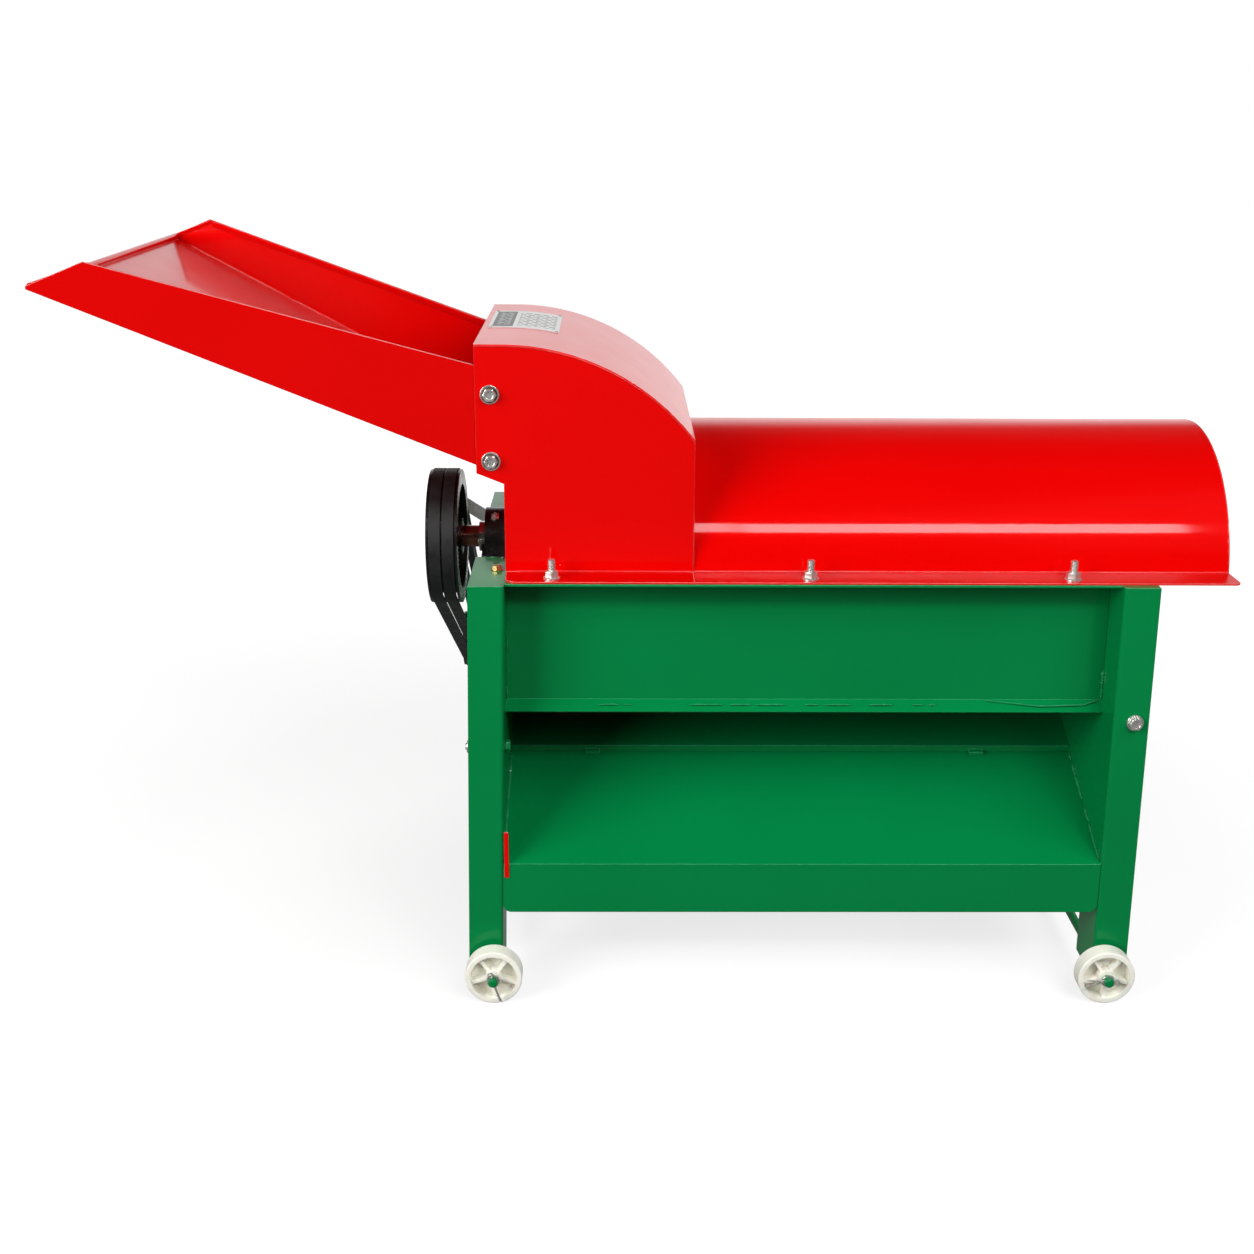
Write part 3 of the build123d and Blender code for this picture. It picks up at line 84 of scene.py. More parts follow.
# ---- materials ------------------------------------------------------------------------------------------------
class Shader:
    """A small helper round one node tree with a Principled shader."""

    def __init__(self, name):
        self.material = bpy.data.materials.new(name)
        self.material.use_nodes = True
        self.tree = self.material.node_tree
        self.tree.nodes.clear()
        self.out = self.tree.nodes.new("ShaderNodeOutputMaterial")
        self.bsdf = self.tree.nodes.new("ShaderNodeBsdfPrincipled")
        self.link(self.bsdf, "BSDF", self.out, "Surface")
        self.place = self.tree.nodes.new("ShaderNodeTexCoord")

    def link(self, a, a_socket, b, b_socket):
        self.tree.links.new(a.outputs[a_socket], b.inputs[b_socket])

    def set(self, **values):
        for key, value in values.items():
            self.bsdf.inputs[key.replace("_", " ")].default_value = value

    def coords(self, stretch=(1, 1, 1)):
        mapping = self.tree.nodes.new("ShaderNodeMapping")
        mapping.inputs["Scale"].default_value = stretch
        self.link(self.place, "Object", mapping, "Vector")
        return mapping

    def noise(self, scale, detail=3.0, roughness=0.5, stretch=(1, 1, 1)):
        node = self.tree.nodes.new("ShaderNodeTexNoise")
        node.inputs["Scale"].default_value = scale
        node.inputs["Detail"].default_value = detail
        node.inputs["Roughness"].default_value = roughness
        self.link(self.coords(stretch), "Vector", node, "Vector")
        return node

    def ramp(self, source, socket, stops):
        node = self.tree.nodes.new("ShaderNodeValToRGB")
        elements = node.color_ramp.elements
        while len(elements) < len(stops):
            elements.new(0.5)
        for element, (position, colour) in zip(elements, stops):
            element.position = position
            element.color = (*colour, 1) if len(colour) == 3 else colour
        self.link(source, socket, node, "Fac")
        return node

    def span(self, source, socket, low, high, out_low, out_high):
        node = self.tree.nodes.new("ShaderNodeMapRange")
        for key, value in (("From Min", low), ("From Max", high), ("To Min", out_low), ("To Max", out_high)):
            node.inputs[key].default_value = value
        self.link(source, socket, node, "Value")
        return node

    def mix(self, factor, socket, a, b, blend="MIX"):
        """a and b are colours, or (node, socket)."""
        node = self.tree.nodes.new("ShaderNodeMix")
        node.data_type = "RGBA"
        node.blend_type = blend
        if factor is None:
            node.inputs[0].default_value = 1.0
        else:
            self.tree.links.new(factor.outputs[socket], node.inputs[0])
        for index, value in ((6, a), (7, b)):
            if isinstance(value[0], bpy.types.Node):
                self.tree.links.new(value[0].outputs[value[1]], node.inputs[index])
            else:
                node.inputs[index].default_value = (*value, 1)
        return node

    def colour(self, node, socket="Color"):
        self.tree.links.new(node.outputs[socket], self.bsdf.inputs["Base Color"])

    def rough(self, source, socket, low, high, out_low, out_high):
        node = self.span(source, socket, low, high, out_low, out_high)
        self.link(node, "Result", self.bsdf, "Roughness")

    def bump(self, heights, edge=0.0):
        """heights: (node, socket, strength, distance) from coarse to fine; edge rounds corners in the shading."""
        last = None
        if edge:
            last = self.tree.nodes.new("ShaderNodeBevel")
            last.samples = 4
            last.inputs["Radius"].default_value = edge
        for node, socket, strength, distance in heights:
            bump = self.tree.nodes.new("ShaderNodeBump")
            bump.inputs["Strength"].default_value = strength
            bump.inputs["Distance"].default_value = distance
            self.link(node, socket, bump, "Height")
            if last:
                self.link(last, "Normal", bump, "Normal")
            last = bump
        if last:
            self.link(last, "Normal", self.bsdf, "Normal")

    def edge_mask(self, radius, low, high):
        """The bevel node, and a node that gives 1 along convex and concave edges and 0 on flat stretches."""
        bevel = self.tree.nodes.new("ShaderNodeBevel")
        bevel.samples = 4
        bevel.inputs["Radius"].default_value = radius
        geometry = self.tree.nodes.new("ShaderNodeNewGeometry")
        dot = self.tree.nodes.new("ShaderNodeVectorMath")
        dot.operation = "DOT_PRODUCT"
        self.link(bevel, "Normal", dot, 0)
        self.link(geometry, "True Normal", dot, 1)
        return bevel, self.span(dot, "Value", low, high, 0.0, 1.0)

    def product(self, a, b):
        node = self.tree.nodes.new("ShaderNodeMath")
        node.operation = "MULTIPLY"
        self.tree.links.new(a.outputs[0], node.inputs[0])
        self.tree.links.new(b.outputs[0], node.inputs[1])
        return node


def paint(name, base, deep, edge_highlight_colour, roughness=(0.26, 0.34), gloss=(1, 1, 1), coat=0.35):
    """Gloss paint on pressed sheet: slow shade drift, faint orange peel and a painted highlight, paler and broken into
    patches, on upward edges.
    """
    s = Shader(name)
    drift = s.noise(4.0, 2.0)
    shade = s.ramp(drift, "Fac", [(0.3, deep), (0.62, base)])
    bevel, edge = s.edge_mask(0.0013, 0.985, 0.7)
    facing = s.tree.nodes.new("ShaderNodeSeparateXYZ")
    s.link(bevel, "Normal", facing, "Vector")
    upward = s.span(facing, "Z", 0.12, 0.5, 0.12, 1.0)
    # Painted highlight: upward edges are mixed towards a paler colour, broken into patches by noise.
    rim = s.product(edge, upward)
    highlight_breakup = s.span(s.noise(90.0, 3.0, 0.7), "Fac", 0.38, 0.6, 0.6, 1.0)
    s.colour(s.mix(s.product(rim, highlight_breakup), "Value", (shade, "Color"), edge_highlight_colour), "Result")
    smears = s.noise(14.0, 4.0, 0.6, (1, 1, 2.5))
    s.rough(smears, "Fac", 0.3, 0.75, *roughness)
    s.set(Specular_IOR_Level=0.25, Specular_Tint=(*gloss, 1), Coat_Weight=coat, Coat_Roughness=0.06)
    peel = s.noise(420.0, 2.0, 0.5)
    waves = s.noise(7.0, 1.0, 0.3)
    s.bump([(waves, "Fac", 0.03, 0.004), (peel, "Fac", 0.012, 0.0004)], edge=0.0012)
    return s.material


def metal(name, base, tint, roughness, scratch=(1, 1, 1), edge=0.0004, grain=900.0, metallic=1.0):
    """Bare or plated metal with slight tarnish and fine scratches."""
    s = Shader(name)
    cloud = s.noise(60.0, 4.0, 0.6)
    s.colour(s.ramp(cloud, "Fac", [(0.35, tint), (0.65, base)]))
    s.set(Metallic=metallic)
    lines = s.noise(grain, 3.0, 0.6, scratch)
    s.rough(cloud, "Fac", 0.3, 0.7, *roughness)
    s.bump([(lines, "Fac", 0.12, 0.0003)], edge=edge)
    return s.material


def casting(name, base, worn_and_highlight_tone, roughness=(0.38, 0.6), grain=520.0):
    """Painted sand casting, with a painted highlight that lightens its edges."""
    s = Shader(name)
    cloud = s.noise(45.0, 4.0, 0.6)
    shade = s.ramp(cloud, "Fac", [(0.3, base), (0.75, worn_and_highlight_tone)])
    edge = s.edge_mask(0.0012, 0.98, 0.55)[1]
    # Painted highlight: edges are mixed towards a much paler copy of the worn tone.
    s.colour(s.mix(edge, "Result", (shade, "Color"), tuple(min(1, 2.2 * c + 0.02) for c in worn_and_highlight_tone)), "Result")
    s.rough(cloud, "Fac", 0.3, 0.7, *roughness)
    pits = s.noise(grain, 4.0, 0.65)
    s.bump([(pits, "Fac", 0.28, 0.0009)], edge=0.0011)
    return s.material


def moulded(name, base, deep, roughness=(0.3, 0.45), subsurface=0.0):
    """Moulded plastic with faint flow marks and painted shade that slightly darkens its edges and creases."""
    s = Shader(name)
    cloud = s.noise(38.0, 3.0, 0.55)
    edge = s.edge_mask(0.0012, 0.985, 0.6)[1]
    shade = s.ramp(cloud, "Fac", [(0.3, deep), (0.65, base)])
    # Painted shade: edges and creases are mixed a little towards the deep colour.
    s.colour(s.mix(s.span(edge, "Result", 0, 1, 0, 0.12), "Result", (shade, "Color"), deep), "Result")
    s.rough(cloud, "Fac", 0.3, 0.7, *roughness)
    s.set(Subsurface_Weight=subsurface, Subsurface_Scale=0.004)
    skin = s.noise(700.0, 2.0, 0.5)
    flow = s.noise(26.0, 2.0, 0.4)
    s.bump([(flow, "Fac", 0.08, 0.0015), (skin, "Fac", 0.08, 0.0003)], edge=0.0009)
    return s.material


def rubber(name, base, thread):
    """Wrapped V-belt: woven cover and a slight polish on the flanks."""
    s = Shader(name)
    weave = s.tree.nodes.new("ShaderNodeTexWave")
    weave.wave_type = "BANDS"
    weave.bands_direction = "DIAGONAL"
    weave.inputs["Scale"].default_value = 330.0
    weave.inputs["Distortion"].default_value = 1.5
    s.link(s.coords(), "Vector", weave, "Vector")
    cloud = s.noise(70.0, 3.0, 0.6)
    shade = s.ramp(cloud, "Fac", [(0.35, base), (0.75, thread)])
    s.colour(shade)
    s.rough(cloud, "Fac", 0.3, 0.7, 0.42, 0.62)
    s.set(Specular_IOR_Level=0.45)
    s.bump([(weave, "Fac", 0.18, 0.0004)], edge=0.0008)
    return s.material


def rusted_steel(name):
    """Unpainted working steel: mill scale, polish where the cobs rub and light rust."""
    s = Shader(name)
    cloud = s.noise(24.0, 6.0, 0.65)
    colour = s.ramp(cloud, "Fac", [(0.30, (0.035, 0.028, 0.024)), (0.52, (0.10, 0.075, 0.06)),
                                   (0.68, (0.20, 0.10, 0.05)), (0.80, (0.32, 0.30, 0.28))])
    s.colour(colour)
    s.set(Metallic=0.75)
    s.rough(cloud, "Fac", 0.3, 0.8, 0.62, 0.36)
    pits = s.noise(380.0, 5.0, 0.7)
    s.bump([(pits, "Fac", 0.35, 0.0008)], edge=0.0008)
    return s.material


def rating_plate(name):
    """Satin aluminium plate with generic bars of print and a dark panel at one end."""
    low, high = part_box("name_plate")
    s = Shader(name)
    size = high - low
    local = s.tree.nodes.new("ShaderNodeMapping")
    local.inputs["Location"].default_value = (-low.x / size.x, -low.y / size.y, 0)
    local.inputs["Scale"].default_value = (1 / size.x, 1 / size.y, 1)
    s.link(s.place, "Object", local, "Vector")
    split = s.tree.nodes.new("ShaderNodeSeparateXYZ")
    s.link(local, "Vector", split, "Vector")

    def maths(operation, a, b):
        node = s.tree.nodes.new("ShaderNodeMath")
        node.operation = operation
        for index, value in enumerate((a, b)):
            if isinstance(value, (int, float)):
                node.inputs[index].default_value = value
            elif isinstance(value, tuple):
                s.tree.links.new(value[0].outputs[value[1]], node.inputs[index])
            else:
                s.tree.links.new(value.outputs[0], node.inputs[index])
        return node

    def window(axis, a, b):
        return maths("MULTIPLY", maths("GREATER_THAN", (split, axis), a), maths("LESS_THAN", (split, axis), b))

    bars = s.tree.nodes.new("ShaderNodeTexBrick")
    bars.offset = 0.37
    bars.inputs["Color1"].default_value = (0, 0, 0, 1)
    bars.inputs["Color2"].default_value = (0, 0, 0, 1)
    bars.inputs["Mortar"].default_value = (1, 1, 1, 1)
    bars.inputs["Scale"].default_value = 1.0
    bars.inputs["Mortar Size"].default_value = 0.021
    bars.inputs["Mortar Smooth"].default_value = 0.0
    bars.inputs["Brick Width"].default_value = 0.13
    bars.inputs["Row Height"].default_value = 0.082
    turn = s.tree.nodes.new("ShaderNodeMapping")
    turn.inputs["Location"].default_value = (0.03, 0.02, 0)
    s.link(local, "Vector", turn, "Vector")
    s.link(turn, "Vector", bars, "Vector")
    print_area = maths("MULTIPLY", window("X", 0.40, 0.94), window("Y", 0.10, 0.90))
    panel = maths("MULTIPLY", window("X", 0.05, 0.34), window("Y", 0.05, 0.95))
    ink = maths("MULTIPLY", maths("SUBTRACT", 1.0, (bars, "Color")), print_area)
    light = maths("MULTIPLY", maths("SUBTRACT", 1.0, (bars, "Color")),
                  maths("MULTIPLY", window("X", 0.10, 0.29), window("Y", 0.12, 0.88)))
    base = s.mix(ink, 0, (0.74, 0.74, 0.73), (0.16, 0.16, 0.17))
    dark = s.mix(panel, 0, (base, "Result"), (0.045, 0.047, 0.05))
    s.colour(s.mix(light, 0, (dark, "Result"), (0.42, 0.42, 0.42)), "Result")
    grain = s.noise(260.0, 3.0, 0.6, (1, 14, 1))
    s.set(Metallic=0.35)
    s.rough(grain, "Fac", 0.3, 0.7, 0.3, 0.42)
    s.bump([(grain, "Fac", 0.06, 0.0002)])
    return s.material


# The third colour given to paint() is the painted highlight on its upward edges.
RED_BASE, RED_EDGE_HIGHLIGHT, RED_GLOSS = (0.64, 0.0004, 0.0002), (1.0, 0.58, 0.56), (1.0, 0.01, 0.01)
GREEN_EDGE_HIGHLIGHT, GREEN_GLOSS = (0.16, 0.60, 0.38), (0.01, 1.0, 0.3)
BEAD_ROUGHNESS = (0.2, 0.3)
RED = paint("red_paint", RED_BASE, (0.615, 0.0003, 0.0001), RED_EDGE_HIGHLIGHT, (0.28, 0.32), RED_GLOSS, 0.4)
GREEN = paint("green_paint", (0.0006, 0.187, 0.047), (0.0004, 0.174, 0.042), GREEN_EDGE_HIGHLIGHT, (0.30, 0.38), GREEN_GLOSS, 0.3)
RED_BEAD = paint("red_weld", RED_BASE, (0.60, 0.0003, 0.0001), RED_EDGE_HIGHLIGHT, BEAD_ROUGHNESS, RED_GLOSS, 1.0)
GREEN_BEAD = paint("green_weld", (0.0006, 0.19, 0.05), (0.0004, 0.16, 0.04), GREEN_EDGE_HIGHLIGHT, BEAD_ROUGHNESS, GREEN_GLOSS,
                   1.0)
MOTOR_PAINT = paint("grey_paint", (0.27, 0.30, 0.33), (0.23, 0.26, 0.29), (0.45, 0.47, 0.5), (0.32, 0.46),
                    coat=0.05)
BLACK = casting("black_iron", (0.004, 0.004, 0.0045), (0.009, 0.0085, 0.008), (0.2, 0.36))
ZINC = metal("zinc_steel", (0.80, 0.79, 0.76), (0.64, 0.62, 0.58), (0.22, 0.34), metallic=0.8)
GROUND = metal("bright_steel", (0.34, 0.15, 0.11), (0.20, 0.07, 0.05), (0.16, 0.28), (1, 0.02, 0.02), 0.0006, 1400.0,
               0.85)
BRIGHT = metal("polished_steel", (0.66, 0.65, 0.63), (0.52, 0.50, 0.47), (0.16, 0.3), (0.02, 1, 1), 0.0005)
BRASS = metal("plated_brass", (0.76, 0.72, 0.60), (0.6, 0.54, 0.4), (0.2, 0.34))
GOLD = metal("yellow_zinc", (0.72, 0.50, 0.22), (0.55, 0.36, 0.15), (0.25, 0.4))
IVORY = moulded("ivory_plastic", (0.90, 0.89, 0.80), (0.84, 0.82, 0.72), (0.3, 0.42), 0.12)
PLASTIC = moulded("black_plastic", (0.035, 0.035, 0.037), (0.022, 0.022, 0.024), (0.42, 0.58))
RUBBER = rubber("black_rubber", (0.005, 0.005, 0.0055), (0.010, 0.010, 0.0105))
WORKING = rusted_steel("dark_steel")
PLATE = rating_plate("plate_metal")

SLOTS = {"red_paint": RED, "green_paint": GREEN, "grey_paint": MOTOR_PAINT, "black_iron": BLACK,
         "zinc_steel": ZINC, "bright_steel": BRIGHT, "brass": BRASS, "ivory_plastic": IVORY,
         "black_plastic": PLASTIC, "black_rubber": RUBBER, "dark_steel": WORKING, "plate_metal": PLATE}
LOOKS = {"drum_shaft": GROUND, "axle_left": GREEN, "axle_right": GREEN}     # nodes that look unlike their slot
slot_of = {p["node"]: p["material_slot"] for p in frame["record"]["subparts"]}
for name, node in nodes.items():
    node.data.materials.clear()
    node.data.materials.append(LOOKS.get(name, SLOTS[slot_of[name]]))


# ---- mesh helpers ---------------------------------------------------------------------------------------------
def piece(name, verts, faces, material, body, smooth=True, replaces=()):
    """Mesh object that rides on a body and may replace nodes of the frame."""
    mesh = bpy.data.meshes.new(name)
    mesh.from_pydata([tuple(v) for v in verts], [], faces)
    mesh.validate()
    cleaner = bmesh.new()
    cleaner.from_mesh(mesh)
    bmesh.ops.recalc_face_normals(cleaner, faces=cleaner.faces)
    cleaner.to_mesh(mesh)
    cleaner.free()
    for polygon in mesh.polygons:
        polygon.use_smooth = smooth
    obj = bpy.data.objects.new(name, mesh)
    bpy.context.scene.collection.objects.link(obj)
    mesh.materials.append(material)
    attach(obj, body)
    if replaces:
        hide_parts(*replaces)
    return obj


def basis(axis, start=None):
    """Two unit vectors square to an axis."""
    axis = Vector(axis).normalized()
    start = Vector(start) if start else (Vector((0, 0, 1)) if abs(axis.z) < 0.9 else Vector((1, 0, 0)))
    u = (start - axis * start.dot(axis)).normalized()
    return u, axis.cross(u)


class Soup:
    """Vertices and faces gathered from many small solids into one piece."""

    def __init__(self):
        self.verts, self.faces = [], []

    def rings(self, rings, closed=False, caps=True):
        """Skin a list of equally long vertex rings."""
        first = len(self.verts)
        count = len(rings[0])
        for ring in rings:
            self.verts += ring
        turns = len(rings) if closed else len(rings) - 1
        for i in range(turns):
            a, b = first + i * count, first + (i + 1) % len(rings) * count
            for j in range(count):
                k = (j + 1) % count
                self.faces.append((a + j, a + k, b + k, b + j))
        if caps and not closed:
            self.faces.append(tuple(first + j for j in reversed(range(count))))
            last = first + (len(rings) - 1) * count
            self.faces.append(tuple(last + j for j in range(count)))

    def lathe(self, base, axis, profile, sides=40, radius_at=None):
        """Turn (distance along the axis, radius) pairs about an axis, in metres."""
        axis = Vector(axis).normalized()
        u, v = basis(axis)
        rings = []
        for along, radius in profile:
            ring = []
            for j in range(sides):
                a = 2 * pi * j / sides
                r = radius_at(a, along, radius) if radius_at else radius
                ring.append(Vector(base) + axis * along + (u * cos(a) + v * sin(a)) * r)
            rings.append(ring)
        self.rings(rings)

    def tube(self, points, radius, sides=10, closed=False, radii=None):
        """Round tube along points."""
        points = [Vector(p) for p in points]
        rings = []
        guide = None
        for i, p in enumerate(points):
            ahead = points[(i + 1) % len(points)] if closed else points[min(i + 1, len(points) - 1)]
            behind = points[i - 1] if closed or i else points[0]
            axis = (ahead - behind).normalized()
            u, v = basis(axis, guide)
            guide = u
            r = radii[i] if radii else radius
            rings.append([p + (u * cos(2 * pi * j / sides) + v * sin(2 * pi * j / sides)) * r
                          for j in range(sides)])
        self.rings(rings, closed)

    def box(self, low, high):
        (x0, y0, z0), (x1, y1, z1) = low, high
        self.rings([[Vector((x0, y0, z)), Vector((x1, y0, z)), Vector((x1, y1, z)), Vector((x0, y1, z))]
                    for z in (z0, z1)])

    def strip(self, sections):
        """Skin cross-sections given as point lists, capped at both ends."""
        self.rings([[Vector(p) for p in section] for section in sections])

    def made(self, name, material, body, slot, smooth=True, replaces=(), bevel=0.0, angle=35):
        obj = piece(name, self.verts, self.faces, material, body, smooth, replaces)
        if bevel:
            modifier = obj.modifiers.new("bevel", "BEVEL")
            modifier.width = bevel
            modifier.segments = 2
            modifier.limit_method = "ANGLE"
            modifier.angle_limit = radians(angle)
        if smooth:
            sharp = obj.modifiers.new("edges", "EDGE_SPLIT")
            sharp.split_angle = radians(angle)
        return obj


def hex_radius(angle, across_flats):
    sector = (angle + pi / 6) % (pi / 3) - pi / 6
    return across_flats / 2 / cos(sector)


def hex_body(soup, base, axis, across_flats, height, both=False, dish=0.0):
    """Chamfered hexagon: head or nut."""
    top = across_flats / 2 * 0.96
    drop = across_flats * 0.085
    if both:
        steps = [(0.0, top), (drop * 0.5, top + drop * 0.9), (drop, 9.0), (height - drop, 9.0),
                 (height - drop * 0.5, top + drop * 0.9), (height, top)]
    else:
        steps = [(0.0, 9.0), (height - drop, 9.0), (height - drop * 0.5, top + drop * 0.9), (height, top)]
    if dish:
        steps += [(height, dish), (height - 0.0004, dish * 0.97), (height - 0.0013, dish * 0.85)]
    soup.lathe(base, axis, steps, 60, lambda a, s, r: min(hex_radius(a, across_flats), r))


def threaded(soup, base, axis, radius, length, pitch=0.00125):
    """Shank with ring threads and a chamfered end."""
    turns = max(1, int(length / pitch))
    step = length / turns
    profile = [(0.0, radius * 0.86)]
    for i in range(turns):
        profile += [(step * (i + 0.5), radius), (step * (i + 0.95), radius * 0.87)]
    profile[-1] = (length - step * 0.3, radius * 0.87)
    profile.append((length, radius * 0.78))
    soup.lathe(base, axis, profile, 28)


def washer(soup, base, axis, outer, thick):
    soup.lathe(base, axis, [(0, outer * 0.97), (thick * 0.2, outer), (thick * 0.8, outer), (thick, outer * 0.97)], 40)


def bead(soup, points, radius, waves=0.25, pitch=0.0035, ends=True):
    """Painted-over weld bead: a lumpy tube along a path, meant to sit half in its corner."""
    points = [Vector(p) for p in points]
    path, radii = [], []
    phase = random.random() * 6
    for a, b in zip(points, points[1:]):
        count = max(2, int((b - a).length / (pitch / 3)))
        for i in range(count):
            path.append(a.lerp(b, i / count))
    path.append(points[-1])
    total = len(path)
    for i in range(total):
        edge = min(1.0, 0.35 + 0.65 * min(i, total - 1 - i) / 4) if ends else 1.0
        lump = 1 + waves * sin(2 * pi * i / 3 + phase) * 0.5 + waves * (random.random() - 0.5)
        radii.append(radius * lump * edge)
    jitter = [p + Vector([(random.random() - 0.5) * radius * 0.25 for _ in range(3)]) for p in path]
    soup.tube(jitter, radius, 8, radii=radii)


# ---- fasteners ------------------------------------------------------------------------------------------------
M8, M8_AF, M8_WASHER = 0.004, 0.013, 0.009
UP, DOWN = Vector((0, 0, 1)), Vector((0, 0, -1))
FRONT, BACK = Vector((0, -1, 0)), Vector((0, 1, 0))
flange_low, flange_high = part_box("flange_fasteners")
STUD_X = [at(x, 0, 0).x for x in (87, 360, 638)]
STUD_TOP = flange_high.z
STUD_Y = at(0, 25, 0).y
ROOF = STAND_TOP + 0.002

studs, pads = Soup(), Soup()
for x in STUD_X:
    for y in (STUD_Y, 2 * CENTRE_Y - STUD_Y):
        threaded(studs, (x, y, ROOF), UP, M8, STUD_TOP - ROOF)
        studs.lathe((x, y, flange_low.z + 0.0045), UP, [(0, M8), (ROOF - flange_low.z - 0.0045, M8)], 24)
        pads.lathe((x, y, flange_low.z + 0.0038), UP, [(0, 0.0046), (0.0004, 0.0058), (0.0015, 0.0062)], 28)
        studs.lathe((x, y, ROOF), UP, [(0, M8_WASHER), (0.0011, M8_WASHER), (0.0021, M8_WASHER * 0.8),
                                       (0.0024, M8_AF / 2)], 40)
        hex_body(studs, (x, y, ROOF + 0.0016), UP, M8_AF, 0.0066)
studs.made("flange_studs", ZINC, "stand", "zinc_steel", replaces=["flange_fasteners"])
pads.made("stud_weld_pads", GREEN, "stand", "green_paint")

WALL_Y = at(0, 48, 0).y                       # outer face of the chute's near wall beside the housing
CHUTE_BOLTS = ((24, 672), (24, 602))          # x and z, in millimetres
wall_bolts, seat_shadow_rings = Soup(), Soup()
for x, z in CHUTE_BOLTS:
    for turn in (Vector, mirrored):
        out = (turn(Vector((0, WALL_Y - 0.1, 0))) - turn(Vector((0, WALL_Y, 0)))).normalized()
        base = turn(Vector((at(x, 0, 0).x, WALL_Y, z / 1000)))
        washer(wall_bolts, base, out, M8_WASHER + 0.001, 0.0016)
        # A thin dark ring under each bolt head: a painted shadow in the seat.
        seat_shadow_rings.lathe(base + out * 0.0016, out, [(0, 0.0084), (0.0003, 0.0084), (0.0004, 0.0080)], 32)
        hex_body(wall_bolts, base + out * 0.0019, out, M8_AF, 0.0052, dish=0.0043)
        hex_body(wall_bolts, base - out * 0.0105, out, M8_AF, 0.0065, both=True)
        threaded(wall_bolts, base - out * 0.004, -out, M8, 0.0104)
wall_bolts.made("chute_bolts", ZINC, "stand", "zinc_steel", replaces=["chute_fasteners"])
seat_shadow_rings.made("bolt_seat_painted_shadow", WORKING, "stand", "dark_steel")

LEG_BOLT_Z, STAY_BOLT_Z, GUARD_STUD_Z = 0.329, 0.429, 0.286
stand_bolts = Soup()
spot = Vector((at(712, 0, 0).x, left_low.y, LEG_BOLT_Z))
washer(stand_bolts, spot, FRONT, M8_WASHER, 0.0016)
hex_body(stand_bolts, spot + FRONT * 0.0016, FRONT, M8_AF, 0.0053, dish=0.0043)
hex_body(stand_bolts, spot + BACK * 0.0085, FRONT, M8_AF, 0.0065, both=True)
threaded(stand_bolts, spot + BACK * 0.002, BACK, M8, 0.0112)
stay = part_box("guard_stay")
stay_bolt = Vector((at(16, 0, 0).x, stay[1].y, STAY_BOLT_Z))
hex_body(stand_bolts, stay_bolt, BACK, M8_AF, 0.0053)
hex_body(stand_bolts, stay_bolt + FRONT * 0.0115, BACK, M8_AF, 0.0065, both=True)
threaded(stand_bolts, stay_bolt + FRONT * 0.005, FRONT, M8, 0.011)
stud_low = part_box("stand_bolts")[0]
stud_at = Vector((stud_low.x, at(0, 34, 0).y, GUARD_STUD_Z))
LEFT = Vector((-1, 0, 0))
stud_root = at(inner_edge(286), 0, 0).x
threaded(stand_bolts, (stud_root, stud_at.y, stud_at.z), LEFT, M8, stud_root - stud_low.x)
hex_body(stand_bolts, (stud_low.x + 0.0082, stud_at.y, stud_at.z), LEFT, M8_AF, 0.0065, both=True)
stand_bolts.made("stand_bolts_detailed", ZINC, "stand", "zinc_steel", replaces=["stand_bolts"])
stud_head = Soup()                            # head of the guard stud inside the leg, painted over with it
hex_body(stud_head, (stud_root + 0.0055, stud_at.y, stud_at.z), LEFT, M8_AF, 0.0053)
stud_head.made("guard_stud_head", GREEN, "stand", "green_paint")

plate_bolts = Soup()
for y in (at(0, 62, 0).y, 2 * CENTRE_Y - at(0, 62, 0).y):
    base = Vector((at(27, 0, 0).x, y, STAND_TOP))
    washer(plate_bolts, base, UP, 0.0066, 0.0010)
    hex_body(plate_bolts, base + UP * 0.001, UP, 0.010, 0.0036)
    threaded(plate_bolts, base - UP * 0.002, DOWN, 0.003, 0.0095, 0.001)
plate_bolts.made("top_plate_bolts", GOLD, "stand", "zinc_steel")

block_bolts = Soup()
SEAT_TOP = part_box("bearing_seats")[1].z
BEARING_X = (at(17, 0, 0).x, at(707, 0, 0).x)
BEARING_BOLT_Y = 0.0525                       # from the shaft's centre
for x in BEARING_X:
    for dy in (-BEARING_BOLT_Y, BEARING_BOLT_Y):
        base = Vector((x, CENTRE_Y + dy, SEAT_TOP + 0.015))
        hex_body(block_bolts, base, UP, 0.016, 0.0064)
        under = Vector((x, CENTRE_Y + dy, SEAT_TOP - 0.006))
        hex_body(block_bolts, under, DOWN, 0.016, 0.008, both=True)
        threaded(block_bolts, under + DOWN * 0.0078, DOWN, 0.005, 0.0032, 0.0015)
        block_bolts.lathe(base, DOWN, [(0, 0.005), (0.0215, 0.005)], 24)
block_bolts.made("pillow_block_bolts", ZINC, "stand", "zinc_steel", replaces=["bearing_bolts"])

NIPPLE_LEAN = radians(35)
nipples = Soup()
for x in BEARING_X:
    axis = Vector((0, -sin(NIPPLE_LEAN), cos(NIPPLE_LEAN)))
    base = Vector((x, CENTRE_Y, DRUM.z)) + axis * 0.0332
    nipples.lathe(base, axis, [(0, 0.0048), (0.0004, 0.0051), (0.0024, 0.0051), (0.0029, 0.0042)], 6)
    nipples.lathe(base, axis, [(0.0024, 0.0024), (0.0034, 0.0017), (0.0044, 0.0017), (0.0050, 0.0024),
                               (0.0056, 0.0024), (0.0060, 0.0014)], 24)
nipples.made("grease_nipples_detailed", ZINC, "stand", "brass", replaces=["grease_nipples"])

